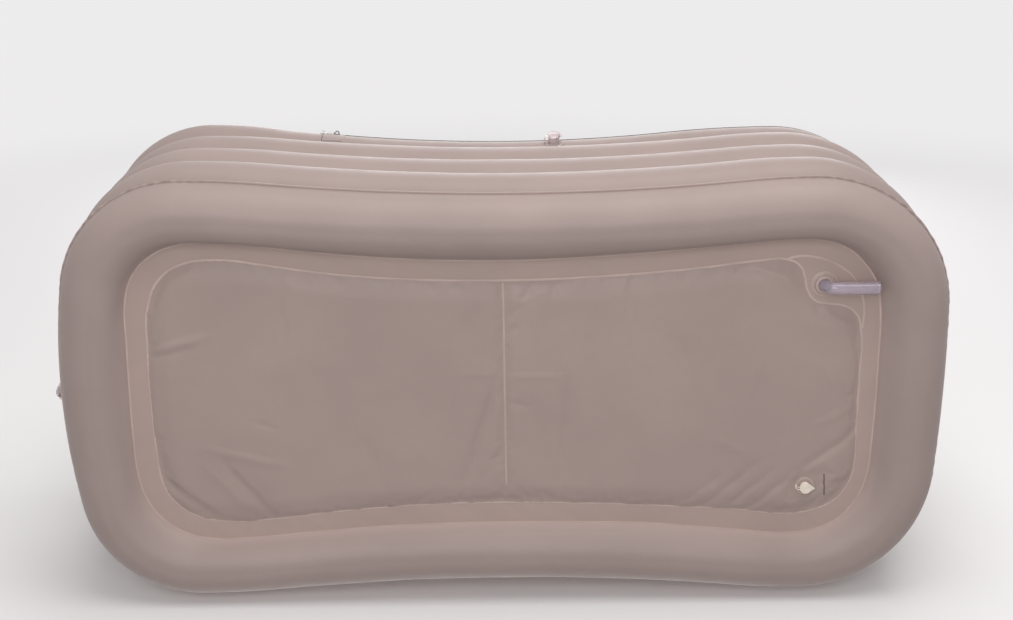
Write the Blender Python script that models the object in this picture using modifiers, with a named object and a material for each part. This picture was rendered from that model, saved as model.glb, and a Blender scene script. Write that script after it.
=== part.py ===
"""Inflatable bath tub: five stacked air rings, an air floor with a drain, and a zip-on cover.

Metres. The tub stands upright on its base ring, +Z up, with its head end at -X and its foot end,
where the drain is, at +X. The origin is on the floor, under the middle of the plan.
A ring's section is written as (inward, height) pairs, and its plan is a chain of plain arcs."""

import math

import bmesh
import bpy
from mathutils import Matrix
from mathutils import Vector

for old_object in list(bpy.data.objects):
    bpy.data.objects.remove(old_object, do_unlink=True)

# Fits that the whole tub shares
GAP = 0.0003
CUT_OVERRUN = 0.004

# Plan of the base ring, measured at its outer weld
HALF_LENGTH = 0.796
HUMP_HALF_WIDTH = 0.395
WAIST_DRAW = 0.026
WAIST_ARC_SHARE = 0.777
HEAD_CORNER_RADIUS = 0.217
HEAD_END_BULGE = 0.014
FOOT_CORNER_RADIUS = 0.245
FOOT_END_BULGE = 0.003

# Plan of the rings above it, and of the rim ring where the zip pulls it inwards
WALL_OUTSET = 0.010
RIM_WAIST_DRAW = 0.0135
RIM_FOOT_SIDE_DRAW = 0.0125
RIM_FOOT_END_DRAW = 0.0095
RIM_WAIST_ARC_SHARE = 0.81

# Flats that each arc of the plan is made of
WAIST_STEPS = 6
HUMP_STEPS = 2
CORNER_STEPS = 7
END_STEPS = 4

# Sections of the rings
BASE_RING_RADIUS = 0.060
REST_FLAT_HALF_WIDTH = 0.012
SEAM_FIN_WIDTH = 0.005
SEAM_FIN_THICKNESS = 0.0016
RING_SQUASH = 0.002
RING_PITCH = 0.108
WALL_THICKNESS = 0.125
WALL_BULGE = 0.025
RIM_CROWN_HEIGHT = 0.0625

# Floor sheet and inflated floor pad
FLOOR_WELD_DROP = 0.0138
FLOOR_SHEET_THICKNESS = 0.0012
FLOOR_BAND_WIDTH = 0.037
PAD_EDGE_THICKNESS = 0.0022
PAD_TOP_RISE = 0.040
PAD_BELLY_DROP = 0.0065
PAD_SHOULDER_WIDTH = 0.050
CHANNEL_DRAIN_SIDE_MARGIN = 0.001
CHANNEL_FAR_SIDE_MARGIN = 0.036
CHANNEL_WIDTH = 0.036
CHANNEL_DEPTH = 0.014
CHANNEL_UNDER_DEPTH = 0.003
DRAIN_WELL_RADIUS = 0.034
DRAIN_WELL_FLARE = 0.022
DRAIN_WELL_SLOPE_SHARE = 0.5

# Drain
DRAIN_END_SETBACK = 0.230
DRAIN_SIDE_SETBACK = 0.189
DRAIN_HOLE_RADIUS = 0.0125
COLLAR_FLANGE_RADIUS = 0.024
COLLAR_FLANGE_THICKNESS = 0.0012
COLLAR_RADIUS = 0.018
COLLAR_BORE_RADIUS = 0.0119
COLLAR_LENGTH = 0.008
SPOUT_RADIUS = 0.0115
SPOUT_WALL = 0.0015
SPOUT_BEND_RADIUS = 0.0165
SPOUT_REACH = 0.0916
SPOUT_ENTRY_DEPTH = 0.0045
SPOUT_BEND_POINTS = 5
STOPPER_RADIUS = 0.019
STOPPER_THICKNESS = 0.004
STOPPER_PLUG_RADIUS = 0.0112
STOPPER_PLUG_LENGTH = 0.0042
STOPPER_KNOB_RADIUS = 0.006
STOPPER_KNOB_HEIGHT = 0.009

# Valves: the three small ones differ only in their stems, the wall valve is a larger one
SMALL_VALVE = {
    "flange_radius": 0.0183,
    "flange_thickness": 0.0012,
    "stem_radius": 0.0075,
    "bore_radius": 0.0045,
    "cap_radius": 0.011,
    "cap_thickness": 0.003,
    "plug_radius": 0.0039,
    "plug_tip_radius": 0.0028,
    "plug_length": 0.005,
    "hinge_reach": 0.0168,
    "tab_length": 0.0055,
    "strap_width": 0.007,
}
WALL_VALVE = {
    "flange_radius": 0.0200,
    "flange_thickness": 0.0012,
    "stem_radius": 0.011,
    "bore_radius": 0.0075,
    "cap_radius": 0.0135,
    "cap_thickness": 0.0062,
    "plug_radius": 0.0068,
    "plug_tip_radius": 0.0050,
    "plug_length": 0.0055,
    "hinge_reach": 0.0185,
    "tab_length": 0.006,
    "strap_width": 0.009,
}
FLOOR_VALVE_STEM = 0.0085
BASE_VALVE_STEM = 0.0155
WALL_VALVE_STEM = 0.0135
HINGE_DROP = 0.0057
HINGE_BARREL_RADIUS = 0.0012
HINGE_LUG_LENGTH = 0.003
STRAP_THICKNESS = 0.0012
STRAP_SLOT_SHARE = 0.36
CAP_CROWN_SHARE = 0.35
VALVE_STEPS = 20
FLOOR_VALVE_END_SETBACK = 0.2426
FLOOR_VALVE_SIDE_SETBACK = 0.2119
BASE_VALVE_RISE = 0.0195
WALL_VALVE_X = 0.107
WALL_VALVE_DROP = 0.0130

# Zip round the rim, from the skirt welded to the rim ring up to the cover
ZIP_START_SETBACK = 0.444
ZIP_LINE_RISE = 0.0169
TEETH_HEIGHT = 0.005
TEETH_THICKNESS = 0.0028
TAPE_HEIGHT = 0.007
TAPE_THICKNESS = 0.0009
SKIRT_WELD_MARGIN = 0.011
SKIRT_THICKNESS = 0.0008
PATCH_LENGTH = 0.050
PATCH_THICKNESS = 0.0008
PATCH_MARGIN = 0.003
STOP_LENGTH = 0.004
STOP_HEIGHT = 0.007
STOP_THICKNESS = 0.0012
STOP_SETBACK = 0.010
SLIDER_SETBACK = 0.032
SLIDER_LENGTH = 0.012
SLIDER_HEIGHT = 0.010
SLIDER_PLATE = 0.002
SLIDER_CLEARANCE = 0.0005
SLIDER_BEVEL = 0.0012
CROWN_RADIUS = 0.0022
CROWN_ROD_RADIUS = 0.00055
CROWN_LIFT = 0.0008
PULL_LENGTH = 0.030
PULL_WIDTH = 0.0064
PULL_THICKNESS = 0.0011
PULL_PIN_HEIGHT = 0.0011
PULL_PIN_HALF = 0.0006
PULL_WINDOW_LENGTH = 0.0034
PULL_WINDOW_HALF_WIDTH = 0.0016
PULL_TIP_SHARE = 0.55

# Cover
COVER_THICKNESS = 0.0010
COVER_LAND = 0.015
NECK_DEPTH = 0.105
NECK_STEPS = 14
HEM_RADIUS = 0.0025
HEM_SETBACK = 0.006

# Head pillow
PILLOW_WIDTH = 0.360
PILLOW_HEIGHT = 0.130
PILLOW_THICKNESS = 0.060
PILLOW_DROP = 0.014
PILLOW_BACK_CROWN = 0.0008
PILLOW_PINCH_SHARE = 0.62
PILLOW_CROWN_POWER = 6
PILLOW_CUTS = 3

WAIST_HALF_WIDTH = HUMP_HALF_WIDTH - WAIST_DRAW
ZIP_START_X = HALF_LENGTH + WALL_OUTSET - ZIP_START_SETBACK
BASE_CENTRE_Z = math.sqrt(BASE_RING_RADIUS**2 - REST_FLAT_HALF_WIDTH**2)
SECOND_RING_BOTTOM = BASE_CENTRE_Z + BASE_RING_RADIUS - RING_SQUASH
SECOND_RING_Z = SECOND_RING_BOTTOM + RING_PITCH / 2
RIM_Z = SECOND_RING_Z + 3 * RING_PITCH
FLOOR_WELD_HEIGHT = BASE_CENTRE_Z - FLOOR_WELD_DROP
DRAIN_X = HALF_LENGTH - DRAIN_END_SETBACK
DRAIN_Y = DRAIN_SIDE_SETBACK - HUMP_HALF_WIDTH
FLOOR_VALVE_X = HALF_LENGTH - FLOOR_VALVE_END_SETBACK
FLOOR_VALVE_Y = HUMP_HALF_WIDTH - FLOOR_VALVE_SIDE_SETBACK
HALF_RING = (RING_PITCH - GAP) / 2
BULGE_RADIUS = (HALF_RING**2 + WALL_BULGE**2) / (2 * WALL_BULGE)
BULGE_ANGLE = math.asin(HALF_RING / BULGE_RADIUS)

tub = bpy.data.collections.new("inflatable_hot_tub")
cutters = bpy.data.collections.new("cutters")
bpy.context.scene.collection.children.link(tub)
bpy.context.scene.collection.children.link(cutters)


def material(name, colour, roughness, metallic=0.0, alpha=1.0):
    finish = bpy.data.materials.new(name)
    finish.use_nodes = True
    shader = finish.node_tree.nodes["Principled BSDF"]
    shader.inputs["Base Color"].default_value = (*colour, 1.0)
    shader.inputs["Roughness"].default_value = roughness
    shader.inputs["Metallic"].default_value = metallic
    shader.inputs["Alpha"].default_value = alpha
    return finish


TAUPE = (0.36, 0.29, 0.26)
DARK_TAUPE = (0.25, 0.22, 0.21)
CLEAR = (0.80, 0.77, 0.82)
CREAM = (0.83, 0.76, 0.68)
GRAPHITE = (0.09, 0.085, 0.085)
STEEL = (0.55, 0.55, 0.56)


def place(obj, colour, roughness, metallic=0.0, alpha=1.0, parent=None):
    """Put a finished piece in the tub's collection with a material of its own."""
    tub.objects.link(obj)
    obj.data.materials.clear()
    obj.data.materials.append(material(obj.name, colour, roughness, metallic, alpha))
    if parent is not None:
        obj.parent = parent
    return obj


def place_cutter(obj):
    cutters.objects.link(obj)
    obj.hide_render = True
    obj.display_type = "WIRE"
    return obj


def mesh_object(name, bm):
    mesh = bpy.data.meshes.new(name)
    bm.to_mesh(mesh)
    bm.free()
    return bpy.data.objects.new(name, mesh)


def smooth(obj):
    obj.data.shade_smooth()
    obj.data.set_sharp_from_angle(angle=math.radians(35))
    return obj


def empty_at(name, matrix, parent=None):
    empty = bpy.data.objects.new(name, None)
    tub.objects.link(empty)
    empty.parent = parent
    empty.matrix_local = matrix
    return empty


def boolean(obj, other, operation="DIFFERENCE"):
    cut = obj.modifiers.new(operation.lower(), "BOOLEAN")
    cut.operation = operation
    cut.solver = "EXACT"
    cut.object = other


def side_arcs(half_length, hump_half_width, waist_half_width, corner_radius, end_bulge):
    """How a side swings out from waist to hump: the hump's place, the turn, both arcs' radii added."""
    hump_x = half_length - corner_radius - end_bulge
    rock = 2 * math.atan2(hump_half_width - waist_half_width, hump_x)
    return hump_x, rock, hump_x / math.sin(rock)


def arc_chain(waist_radius, half_length, hump_half_width, waist_half_width, corner_radius, end_bulge):
    """One end of a plan as arcs (centre x, centre y, turn, steps), from the waist at -Y round to +Y."""
    hump_x, rock, both_radii = side_arcs(
        half_length, hump_half_width, waist_half_width, corner_radius, end_bulge
    )
    hump_radius = both_radii - waist_radius
    corner_y = hump_half_width - corner_radius
    lean = 2 * math.atan2(end_bulge, corner_y)
    end_radius = corner_radius + corner_y / math.sin(lean)
    square = math.radians(90)
    outward = [
        (0.0, -(waist_half_width + waist_radius), -rock, WAIST_STEPS),
        (hump_x, -(hump_half_width - hump_radius), rock, HUMP_STEPS),
        (hump_x, -corner_y, square - lean, CORNER_STEPS),
    ]
    end = [(half_length - end_radius, 0.0, 2 * lean, END_STEPS)]
    back = [(x, -y, turn, steps) for x, y, turn, steps in reversed(outward)]
    return outward + end + back


def turned_about(arcs):
    """The same arcs half a turn round the origin, for the head end."""
    return [(-x, -y, turn, steps) for x, y, turn, steps in arcs]


WALL_FOOT_SIZES = (
    HALF_LENGTH, HUMP_HALF_WIDTH, WAIST_HALF_WIDTH, FOOT_CORNER_RADIUS, FOOT_END_BULGE
)
WALL_HEAD_SIZES = (
    HALF_LENGTH, HUMP_HALF_WIDTH, WAIST_HALF_WIDTH, HEAD_CORNER_RADIUS, HEAD_END_BULGE
)
WAIST_RADIUS = WAIST_ARC_SHARE * min(side_arcs(*WALL_FOOT_SIZES)[2], side_arcs(*WALL_HEAD_SIZES)[2])
WALL_LOOP = arc_chain(WAIST_RADIUS, *WALL_FOOT_SIZES) + turned_about(
    arc_chain(WAIST_RADIUS, *WALL_HEAD_SIZES)
)

RIM_WAIST_HALF_WIDTH = WAIST_HALF_WIDTH + WALL_OUTSET - RIM_WAIST_DRAW
RIM_FOOT_SIZES = (
    HALF_LENGTH + WALL_OUTSET - RIM_FOOT_END_DRAW,
    HUMP_HALF_WIDTH + WALL_OUTSET - RIM_FOOT_SIDE_DRAW,
    RIM_WAIST_HALF_WIDTH,
    FOOT_CORNER_RADIUS,
    FOOT_END_BULGE,
)
RIM_HEAD_SIZES = (
    HALF_LENGTH + WALL_OUTSET,
    HUMP_HALF_WIDTH + WALL_OUTSET,
    RIM_WAIST_HALF_WIDTH,
    HEAD_CORNER_RADIUS,
    HEAD_END_BULGE,
)
RIM_WAIST_RADIUS = RIM_WAIST_ARC_SHARE * min(
    side_arcs(*RIM_FOOT_SIZES)[2], side_arcs(*RIM_HEAD_SIZES)[2]
)
RIM_FOOT = arc_chain(RIM_WAIST_RADIUS, *RIM_FOOT_SIZES)
RIM_HEAD = arc_chain(RIM_WAIST_RADIUS, *RIM_HEAD_SIZES)
RIM_LOOP = RIM_FOOT + turned_about(RIM_HEAD)
RIM_WAIST_CENTRE = Vector((0.0, -(RIM_WAIST_HALF_WIDTH + RIM_WAIST_RADIUS), 0.0))


def rim_turn(x):
    """The turn about the rim's waist centre that brings a point to this distance along X."""
    return math.asin(x / RIM_WAIST_RADIUS)


ZIP_TURN = rim_turn(ZIP_START_X)
ZIP_RUN = (
    [(0.0, RIM_WAIST_CENTRE.y, -ZIP_TURN, WAIST_STEPS)]
    + RIM_FOOT
    + [(0.0, -RIM_WAIST_CENTRE.y, -ZIP_TURN, WAIST_STEPS)]
)


def sweep(section, closed_section, waist_half_width, arcs, start_turn=0.0):
    """Spin a section (inward, height) round a chain of arcs, from the middle of the waist at -Y."""
    bm = bmesh.new()
    row = bm.verts.layers.int.new("row")
    points = [bm.verts.new((0.0, inward - waist_half_width, height)) for inward, height in section]
    for index, point in enumerate(points):
        point[row] = index
    edges = [bm.edges.new(pair) for pair in zip(points, points[1:])]
    if closed_section:
        edges.append(bm.edges.new((points[-1], points[0])))
    if start_turn:
        centre = Vector((arcs[0][0], arcs[0][1], 0.0))
        bmesh.ops.rotate(bm, cent=centre, matrix=Matrix.Rotation(start_turn, 3, "Z"), verts=points)
    line = points + edges
    first_edges = edges
    for x, y, turn, steps in arcs:
        line = bmesh.ops.spin(
            bm, geom=line, cent=(x, y, 0.0), axis=(0.0, 0.0, 1.0), angle=turn, steps=steps
        )["geom_last"]
    last_edges = [item for item in line if isinstance(item, bmesh.types.BMEdge)]
    return bm, first_edges, last_edges


def closed_ring(name, section, waist_half_width, arcs):
    """A solid ring: the section spun round the whole loop and joined to its own start."""
    bm, _, _ = sweep(section, True, waist_half_width, arcs)
    bmesh.ops.remove_doubles(bm, verts=bm.verts, dist=GAP / 10)
    bmesh.ops.recalc_face_normals(bm, faces=bm.faces)
    return smooth(mesh_object(name, bm))


def open_run(name, section, waist_half_width, arcs, start_turn):
    """A solid strip along part of the loop, closed by a face at both ends."""
    bm, first, last = sweep(section, True, waist_half_width, arcs, start_turn)
    bmesh.ops.contextual_create(bm, geom=first)
    bmesh.ops.contextual_create(bm, geom=last)
    bmesh.ops.recalc_face_normals(bm, faces=bm.faces)
    return smooth(mesh_object(name, bm))


def offset_line(points, distance):
    """A polyline moved to its left by a distance, square to its runs."""
    moved = []
    for index, point in enumerate(points):
        here = Vector(point)
        before = Vector(points[max(index - 1, 0)])
        after = Vector(points[min(index + 1, len(points) - 1)])
        run_in = (here - before).normalized() if index else (after - here).normalized()
        run_out = (after - here).normalized() if index < len(points) - 1 else run_in
        left_in = Vector((-run_in.y, run_in.x))
        left_out = Vector((-run_out.y, run_out.x))
        mitre = (left_in + left_out).normalized()
        moved.append(tuple(here + mitre * distance / mitre.dot(left_in)))
    return moved


def offset_loop(points, distance):
    """A closed section moved to its left by a distance."""
    wrapped = [points[-1]] + points + [points[0]]
    return offset_line(wrapped, distance)[1:-1]


def band(face, near, far):
    """The section of a sheet that lies on a face, between two distances from it."""
    return offset_line(face, near) + list(reversed(offset_line(face, far)))


# Air rings: the base ring with its welded fin, three wall rings and the rim ring
def base_point(degrees):
    """A point of the base ring's round section, from its outermost side over the top."""
    turn = math.radians(degrees)
    inward = BASE_RING_RADIUS - BASE_RING_RADIUS * math.cos(turn)
    return inward, BASE_CENTRE_Z + BASE_RING_RADIUS * math.sin(turn)


BASE_TOP = SECOND_RING_BOTTOM - GAP / 2
BASE_TOP_DEGREES = math.degrees(math.asin((BASE_TOP - BASE_CENTRE_Z) / BASE_RING_RADIUS))
WELD_DEGREES = math.degrees(math.asin((BASE_CENTRE_Z - FLOOR_WELD_HEIGHT) / BASE_RING_RADIUS))
REST_DEGREES = math.degrees(math.asin(REST_FLAT_HALF_WIDTH / BASE_RING_RADIUS))
BASE_ROUND_SHARES = (0.34, 0.67)


def base_section(with_fin):
    """The base ring's section, starting at the bottom flat's outer edge and going up outside."""
    lower = [base_point(share * (REST_DEGREES - 90)) for share in reversed(BASE_ROUND_SHARES)]
    fin = [
        (0.0, BASE_CENTRE_Z - SEAM_FIN_THICKNESS / 2),
        (-SEAM_FIN_WIDTH, BASE_CENTRE_Z - SEAM_FIN_THICKNESS / 2),
        (-SEAM_FIN_WIDTH, BASE_CENTRE_Z + SEAM_FIN_THICKNESS / 2),
        (0.0, BASE_CENTRE_Z + SEAM_FIN_THICKNESS / 2),
    ]
    upper = [base_point(share * BASE_TOP_DEGREES) for share in BASE_ROUND_SHARES]
    top = [base_point(BASE_TOP_DEGREES), base_point(180 - BASE_TOP_DEGREES)]
    inner = [base_point(180 - share * BASE_TOP_DEGREES) for share in reversed(BASE_ROUND_SHARES)]
    weld = [base_point(180), base_point(180 + WELD_DEGREES)]
    under = 90 - REST_DEGREES - WELD_DEGREES
    under_inner = [base_point(180 + WELD_DEGREES + share * under) for share in BASE_ROUND_SHARES]
    rest = [base_point(270 - REST_DEGREES), base_point(270 + REST_DEGREES)]
    return lower + (fin if with_fin else [base_point(0)]) + upper + top + inner + weld + under_inner + rest


def bulge(degrees_share, side, centre_z):
    """A point of a wall ring's bulging side, outer (side 0) or inner (side 1)."""
    turn = degrees_share * BULGE_ANGLE
    depth = BULGE_RADIUS - BULGE_RADIUS * math.cos(turn)
    inward = depth if side == 0 else WALL_THICKNESS - depth
    return inward, centre_z + BULGE_RADIUS * math.sin(turn)


BULGE_SHARES = (-1.0, -0.5, 0.0, 0.5, 1.0)


def wall_section(centre_z):
    outer = [bulge(share, 0, centre_z) for share in BULGE_SHARES]
    inner = [bulge(share, 1, centre_z) for share in reversed(BULGE_SHARES)]
    return outer + inner


def rim_crown_point(degrees):
    turn = math.radians(degrees)
    half = WALL_THICKNESS / 2
    return half - half * math.cos(turn), RIM_Z + RIM_CROWN_HEIGHT * math.sin(turn)


RIM_CROWN_STEPS = 8
RIM_CROWN = [rim_crown_point(180 * step / RIM_CROWN_STEPS) for step in range(RIM_CROWN_STEPS + 1)]
RIM_OUTER_LOWER = [bulge(share, 0, RIM_Z) for share in BULGE_SHARES[:2]]
RIM_INNER_LOWER = [bulge(share, 1, RIM_Z) for share in reversed(BULGE_SHARES[:2])]
RIM_SECTION = RIM_OUTER_LOWER + RIM_CROWN + RIM_INNER_LOWER

base_ring = closed_ring("base_ring", base_section(True), WAIST_HALF_WIDTH, WALL_LOOP)
place(base_ring, TAUPE, 0.42)
for number in (2, 3, 4):
    centre = SECOND_RING_Z + (number - 2) * RING_PITCH
    section = [(inward - WALL_OUTSET, height) for inward, height in wall_section(centre)]
    wall_ring = closed_ring("wall_ring_%d" % number, section, WAIST_HALF_WIDTH, WALL_LOOP)
    place(wall_ring, TAUPE, 0.42)
rim_ring = closed_ring("rim_ring", RIM_SECTION, RIM_WAIST_HALF_WIDTH, RIM_LOOP)
place(rim_ring, TAUPE, 0.42)


# Floor: a sheet band welded to the base ring, and the inflated pad inside its second weld
BAND_OUTER = base_point(180 + WELD_DEGREES)[0] + GAP
PAD_EDGE = BAND_OUTER + FLOOR_BAND_WIDTH
SHEET_BOTTOM = FLOOR_WELD_HEIGHT - FLOOR_SHEET_THICKNESS / 2
SHEET_TOP = FLOOR_WELD_HEIGHT + FLOOR_SHEET_THICKNESS / 2
PAD_TOP = FLOOR_WELD_HEIGHT + PAD_TOP_RISE
PAD_BOTTOM = FLOOR_WELD_HEIGHT - PAD_BELLY_DROP
PAD_CROWN_SHARES = ((1.0, 1.0), (0.55, 0.94), (0.25, 0.70), (0.08, 0.36))


def pad_profile():
    """The pad's edge, from the flat of its belly out to the weld and up to the flat of its top."""
    half_edge = PAD_EDGE_THICKNESS / 2
    belly = PAD_BELLY_DROP - half_edge
    rise = PAD_TOP_RISE - half_edge
    under = [
        (PAD_EDGE + inward * PAD_SHOULDER_WIDTH, FLOOR_WELD_HEIGHT - half_edge - drop * belly)
        for inward, drop in PAD_CROWN_SHARES
    ]
    over = [
        (PAD_EDGE + inward * PAD_SHOULDER_WIDTH, FLOOR_WELD_HEIGHT + half_edge + lift * rise)
        for inward, lift in reversed(PAD_CROWN_SHARES)
    ]
    edge = [(PAD_EDGE, FLOOR_WELD_HEIGHT - half_edge), (PAD_EDGE, FLOOR_WELD_HEIGHT + half_edge)]
    return under + edge + over


def rows_at(bm, height):
    """The edges of an open swept profile whose ends both lie at a height."""
    return [
        edge
        for edge in bm.edges
        if edge.is_boundary and all(abs(vert.co.z - height) < GAP / 10 for vert in edge.verts)
    ]


def filled_sweep(name, profile, waist_half_width, arcs):
    """A profile spun round the loop, with its top and bottom openings closed by flat faces."""
    bm, _, _ = sweep(profile, False, waist_half_width, arcs)
    bmesh.ops.remove_doubles(bm, verts=bm.verts, dist=GAP / 10)
    for height in (profile[0][1], profile[-1][1]):
        bmesh.ops.contextual_create(bm, geom=rows_at(bm, height))
    bmesh.ops.recalc_face_normals(bm, faces=bm.faces)
    return smooth(mesh_object(name, bm))


def block(name, size, centre, bevel=0.0, bevel_axis=None):
    """A box, with its edges along one axis rounded if a bevel is asked for."""
    bm = bmesh.new()
    bmesh.ops.create_cube(bm, size=1.0, matrix=Matrix.Diagonal((*size, 1.0)))
    if bevel:
        edges = [
            edge
            for edge in bm.edges
            if abs((edge.verts[0].co - edge.verts[1].co).normalized()[bevel_axis]) > 0.9
        ]
        bmesh.ops.bevel(
            bm, geom=edges, offset=bevel, segments=4, profile=0.5, affect="EDGES", material=-1
        )
    bmesh.ops.translate(bm, vec=centre, verts=bm.verts)
    return mesh_object(name, bm)


def rod(name, radius, bottom, top, x=0.0, y=0.0, sides=24):
    bm = bmesh.new()
    bmesh.ops.create_cone(
        bm, cap_ends=True, segments=sides, radius1=radius, radius2=radius, depth=top - bottom,
        matrix=Matrix.Translation((x, y, (bottom + top) / 2)),
    )
    return mesh_object(name, bm)


def ellipsoid(name, size, centre):
    bm = bmesh.new()
    half_sizes = [side / 2 for side in size]
    bmesh.ops.create_uvsphere(
        bm, u_segments=16, v_segments=11, radius=1.0,
        matrix=Matrix.Translation(centre) @ Matrix.Diagonal((*half_sizes, 1.0)),
    )
    return mesh_object(name, bm)


def quarter(centre_x, centre_y, radius, first_degrees):
    """Points of a quarter arc, turning to the right."""
    turns = [math.radians(first_degrees - 90 * step / CORNER_STEPS) for step in range(CORNER_STEPS + 1)]
    return [(centre_x + radius * math.cos(t), centre_y + radius * math.sin(t)) for t in turns]


def drain_corner(name, clearance):
    """The flat corner round the drain, out past the pad's corner, with its walls sloping apart.

    Its outline turns round the drain and flares out to the pad's end and side."""
    well = DRAIN_WELL_RADIUS - clearance
    flare = DRAIN_WELL_FLARE + clearance
    side_y = DRAIN_WELL_FLARE - (HUMP_HALF_WIDTH - PAD_EDGE)
    end_x = HALF_LENGTH - PAD_EDGE - DRAIN_WELL_FLARE
    far = 2 * HALF_LENGTH
    outline = (
        [(DRAIN_X - well - flare, -far)]
        + [(x, y) for x, y in reversed(quarter(DRAIN_X - well - flare, side_y, flare, 0))]
        + quarter(DRAIN_X, DRAIN_Y, well, 180)
        + [(x, y) for x, y in reversed(quarter(end_x, DRAIN_Y + well + flare, flare, 0))]
        + [(far, DRAIN_Y + well + flare), (far, -far)]
    )
    half_edge = PAD_EDGE_THICKNESS / 2
    slope = DRAIN_WELL_SLOPE_SHARE * PAD_SHOULDER_WIDTH
    levels = [
        (-PAD_TOP_RISE, slope),
        (-half_edge, 0.0),
        (half_edge, 0.0),
        (PAD_TOP_RISE + half_edge, slope),
    ]
    bm = bmesh.new()
    loops = []
    for height, spread in levels:
        shift = Vector((-spread, spread, FLOOR_WELD_HEIGHT + height))
        verts = [bm.verts.new(Vector((x, y, 0.0)) + shift) for x, y in outline]
        loops.append([bm.edges.new(pair) for pair in zip(verts, verts[1:] + verts[:1])])
    for below, above in zip(loops, loops[1:]):
        bmesh.ops.bridge_loops(bm, edges=below + above)
    bmesh.ops.contextual_create(bm, geom=loops[0])
    bmesh.ops.contextual_create(bm, geom=loops[-1])
    bmesh.ops.recalc_face_normals(bm, faces=bm.faces)
    return place_cutter(mesh_object(name, bm))


pad = filled_sweep("floor_pad", pad_profile(), WAIST_HALF_WIDTH, WALL_LOOP)
boolean(pad, drain_corner("drain_corner_cutter", 0.0))
channel_start = CHANNEL_DRAIN_SIDE_MARGIN - (WAIST_HALF_WIDTH - PAD_EDGE)
channel_end = WAIST_HALF_WIDTH - PAD_EDGE - CHANNEL_FAR_SIDE_MARGIN
channel_length = channel_end - channel_start
channel_middle = (channel_end + channel_start) / 2
channel = ellipsoid(
    "channel_cutter",
    (CHANNEL_WIDTH, channel_length, 2 * CHANNEL_DEPTH),
    (0.0, channel_middle, PAD_TOP),
)
boolean(pad, place_cutter(channel))
under_channel = ellipsoid(
    "under_channel_cutter",
    (CHANNEL_WIDTH, channel_length, 2 * CHANNEL_UNDER_DEPTH),
    (0.0, channel_middle, PAD_BOTTOM),
)
boolean(pad, place_cutter(under_channel))
place(pad, TAUPE, 0.45)

sheet_profile = [(BAND_OUTER, SHEET_BOTTOM), (BAND_OUTER, SHEET_TOP)]
floor_sheet = filled_sweep("floor_sheet", sheet_profile, WAIST_HALF_WIDTH, WALL_LOOP)
pad_hole_profile = [
    (PAD_EDGE - GAP, SHEET_BOTTOM - CUT_OVERRUN),
    (PAD_EDGE - GAP, SHEET_TOP + CUT_OVERRUN),
]
pad_hole = filled_sweep("pad_hole_cutter", pad_hole_profile, WAIST_HALF_WIDTH, WALL_LOOP)
boolean(pad_hole, drain_corner("drain_land_cutter", GAP))
boolean(floor_sheet, place_cutter(pad_hole))
drain_hole = rod(
    "drain_hole_cutter",
    DRAIN_HOLE_RADIUS,
    SHEET_BOTTOM - CUT_OVERRUN,
    SHEET_TOP + CUT_OVERRUN,
    DRAIN_X,
    DRAIN_Y,
)
boolean(floor_sheet, place_cutter(drain_hole))
place(floor_sheet, TAUPE, 0.45)


def turned(name, profile, steps=VALVE_STEPS):
    """A solid of revolution: the profile (radius, height) runs up inside and down outside."""
    bm = bmesh.new()
    points = [bm.verts.new((radius, 0.0, height)) for radius, height in profile]
    for pair in zip(points, points[1:]):
        bm.edges.new(pair)
    obj = mesh_object(name, bm)
    screw = obj.modifiers.new("turn", "SCREW")
    screw.steps = steps
    screw.render_steps = steps
    screw.use_merge_vertices = True
    screw.merge_threshold = GAP / 10
    screw.use_smooth_shade = True
    return obj


def flat_plate(name, outlines, thickness):
    """A flat plate in the XY plane: closed outlines filled and given half the thickness each way."""
    curve = bpy.data.curves.new(name, "CURVE")
    curve.dimensions = "2D"
    curve.fill_mode = "BOTH"
    curve.extrude = thickness / 2
    for outline in outlines:
        spline = curve.splines.new("POLY")
        spline.points.add(len(outline) - 1)
        spline.use_cyclic_u = True
        for point, (x, y) in zip(spline.points, outline):
            point.co = (x, y, 0.0, 1.0)
    drawn = bpy.data.objects.new(name, curve)
    cutters.objects.link(drawn)
    return curve_to_mesh(drawn)


def tube(name, points, radius, sides_level):
    """A round rod along a line of points, with filled ends."""
    curve = bpy.data.curves.new(name, "CURVE")
    curve.dimensions = "3D"
    curve.bevel_depth = radius
    curve.bevel_resolution = sides_level
    curve.use_fill_caps = True
    spline = curve.splines.new("POLY")
    spline.points.add(len(points) - 1)
    for point, place_of in zip(spline.points, points):
        point.co = (*place_of, 1.0)
    drawn = bpy.data.objects.new(name, curve)
    cutters.objects.link(drawn)
    return curve_to_mesh(drawn)


def curve_to_mesh(drawn):
    """Swap a drawn curve for its mesh, with its loose caps welded on."""
    bpy.context.view_layer.update()
    graph = bpy.context.evaluated_depsgraph_get()
    mesh = bpy.data.meshes.new_from_object(drawn.evaluated_get(graph))
    name = drawn.name
    bpy.data.objects.remove(drawn, do_unlink=True)
    bm = bmesh.new()
    bm.from_mesh(mesh)
    bmesh.ops.remove_doubles(bm, verts=bm.verts, dist=GAP / 10)
    bmesh.ops.recalc_face_normals(bm, faces=bm.faces)
    bm.to_mesh(mesh)
    bm.free()
    obj = bpy.data.objects.new(name, mesh)
    return obj


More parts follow.
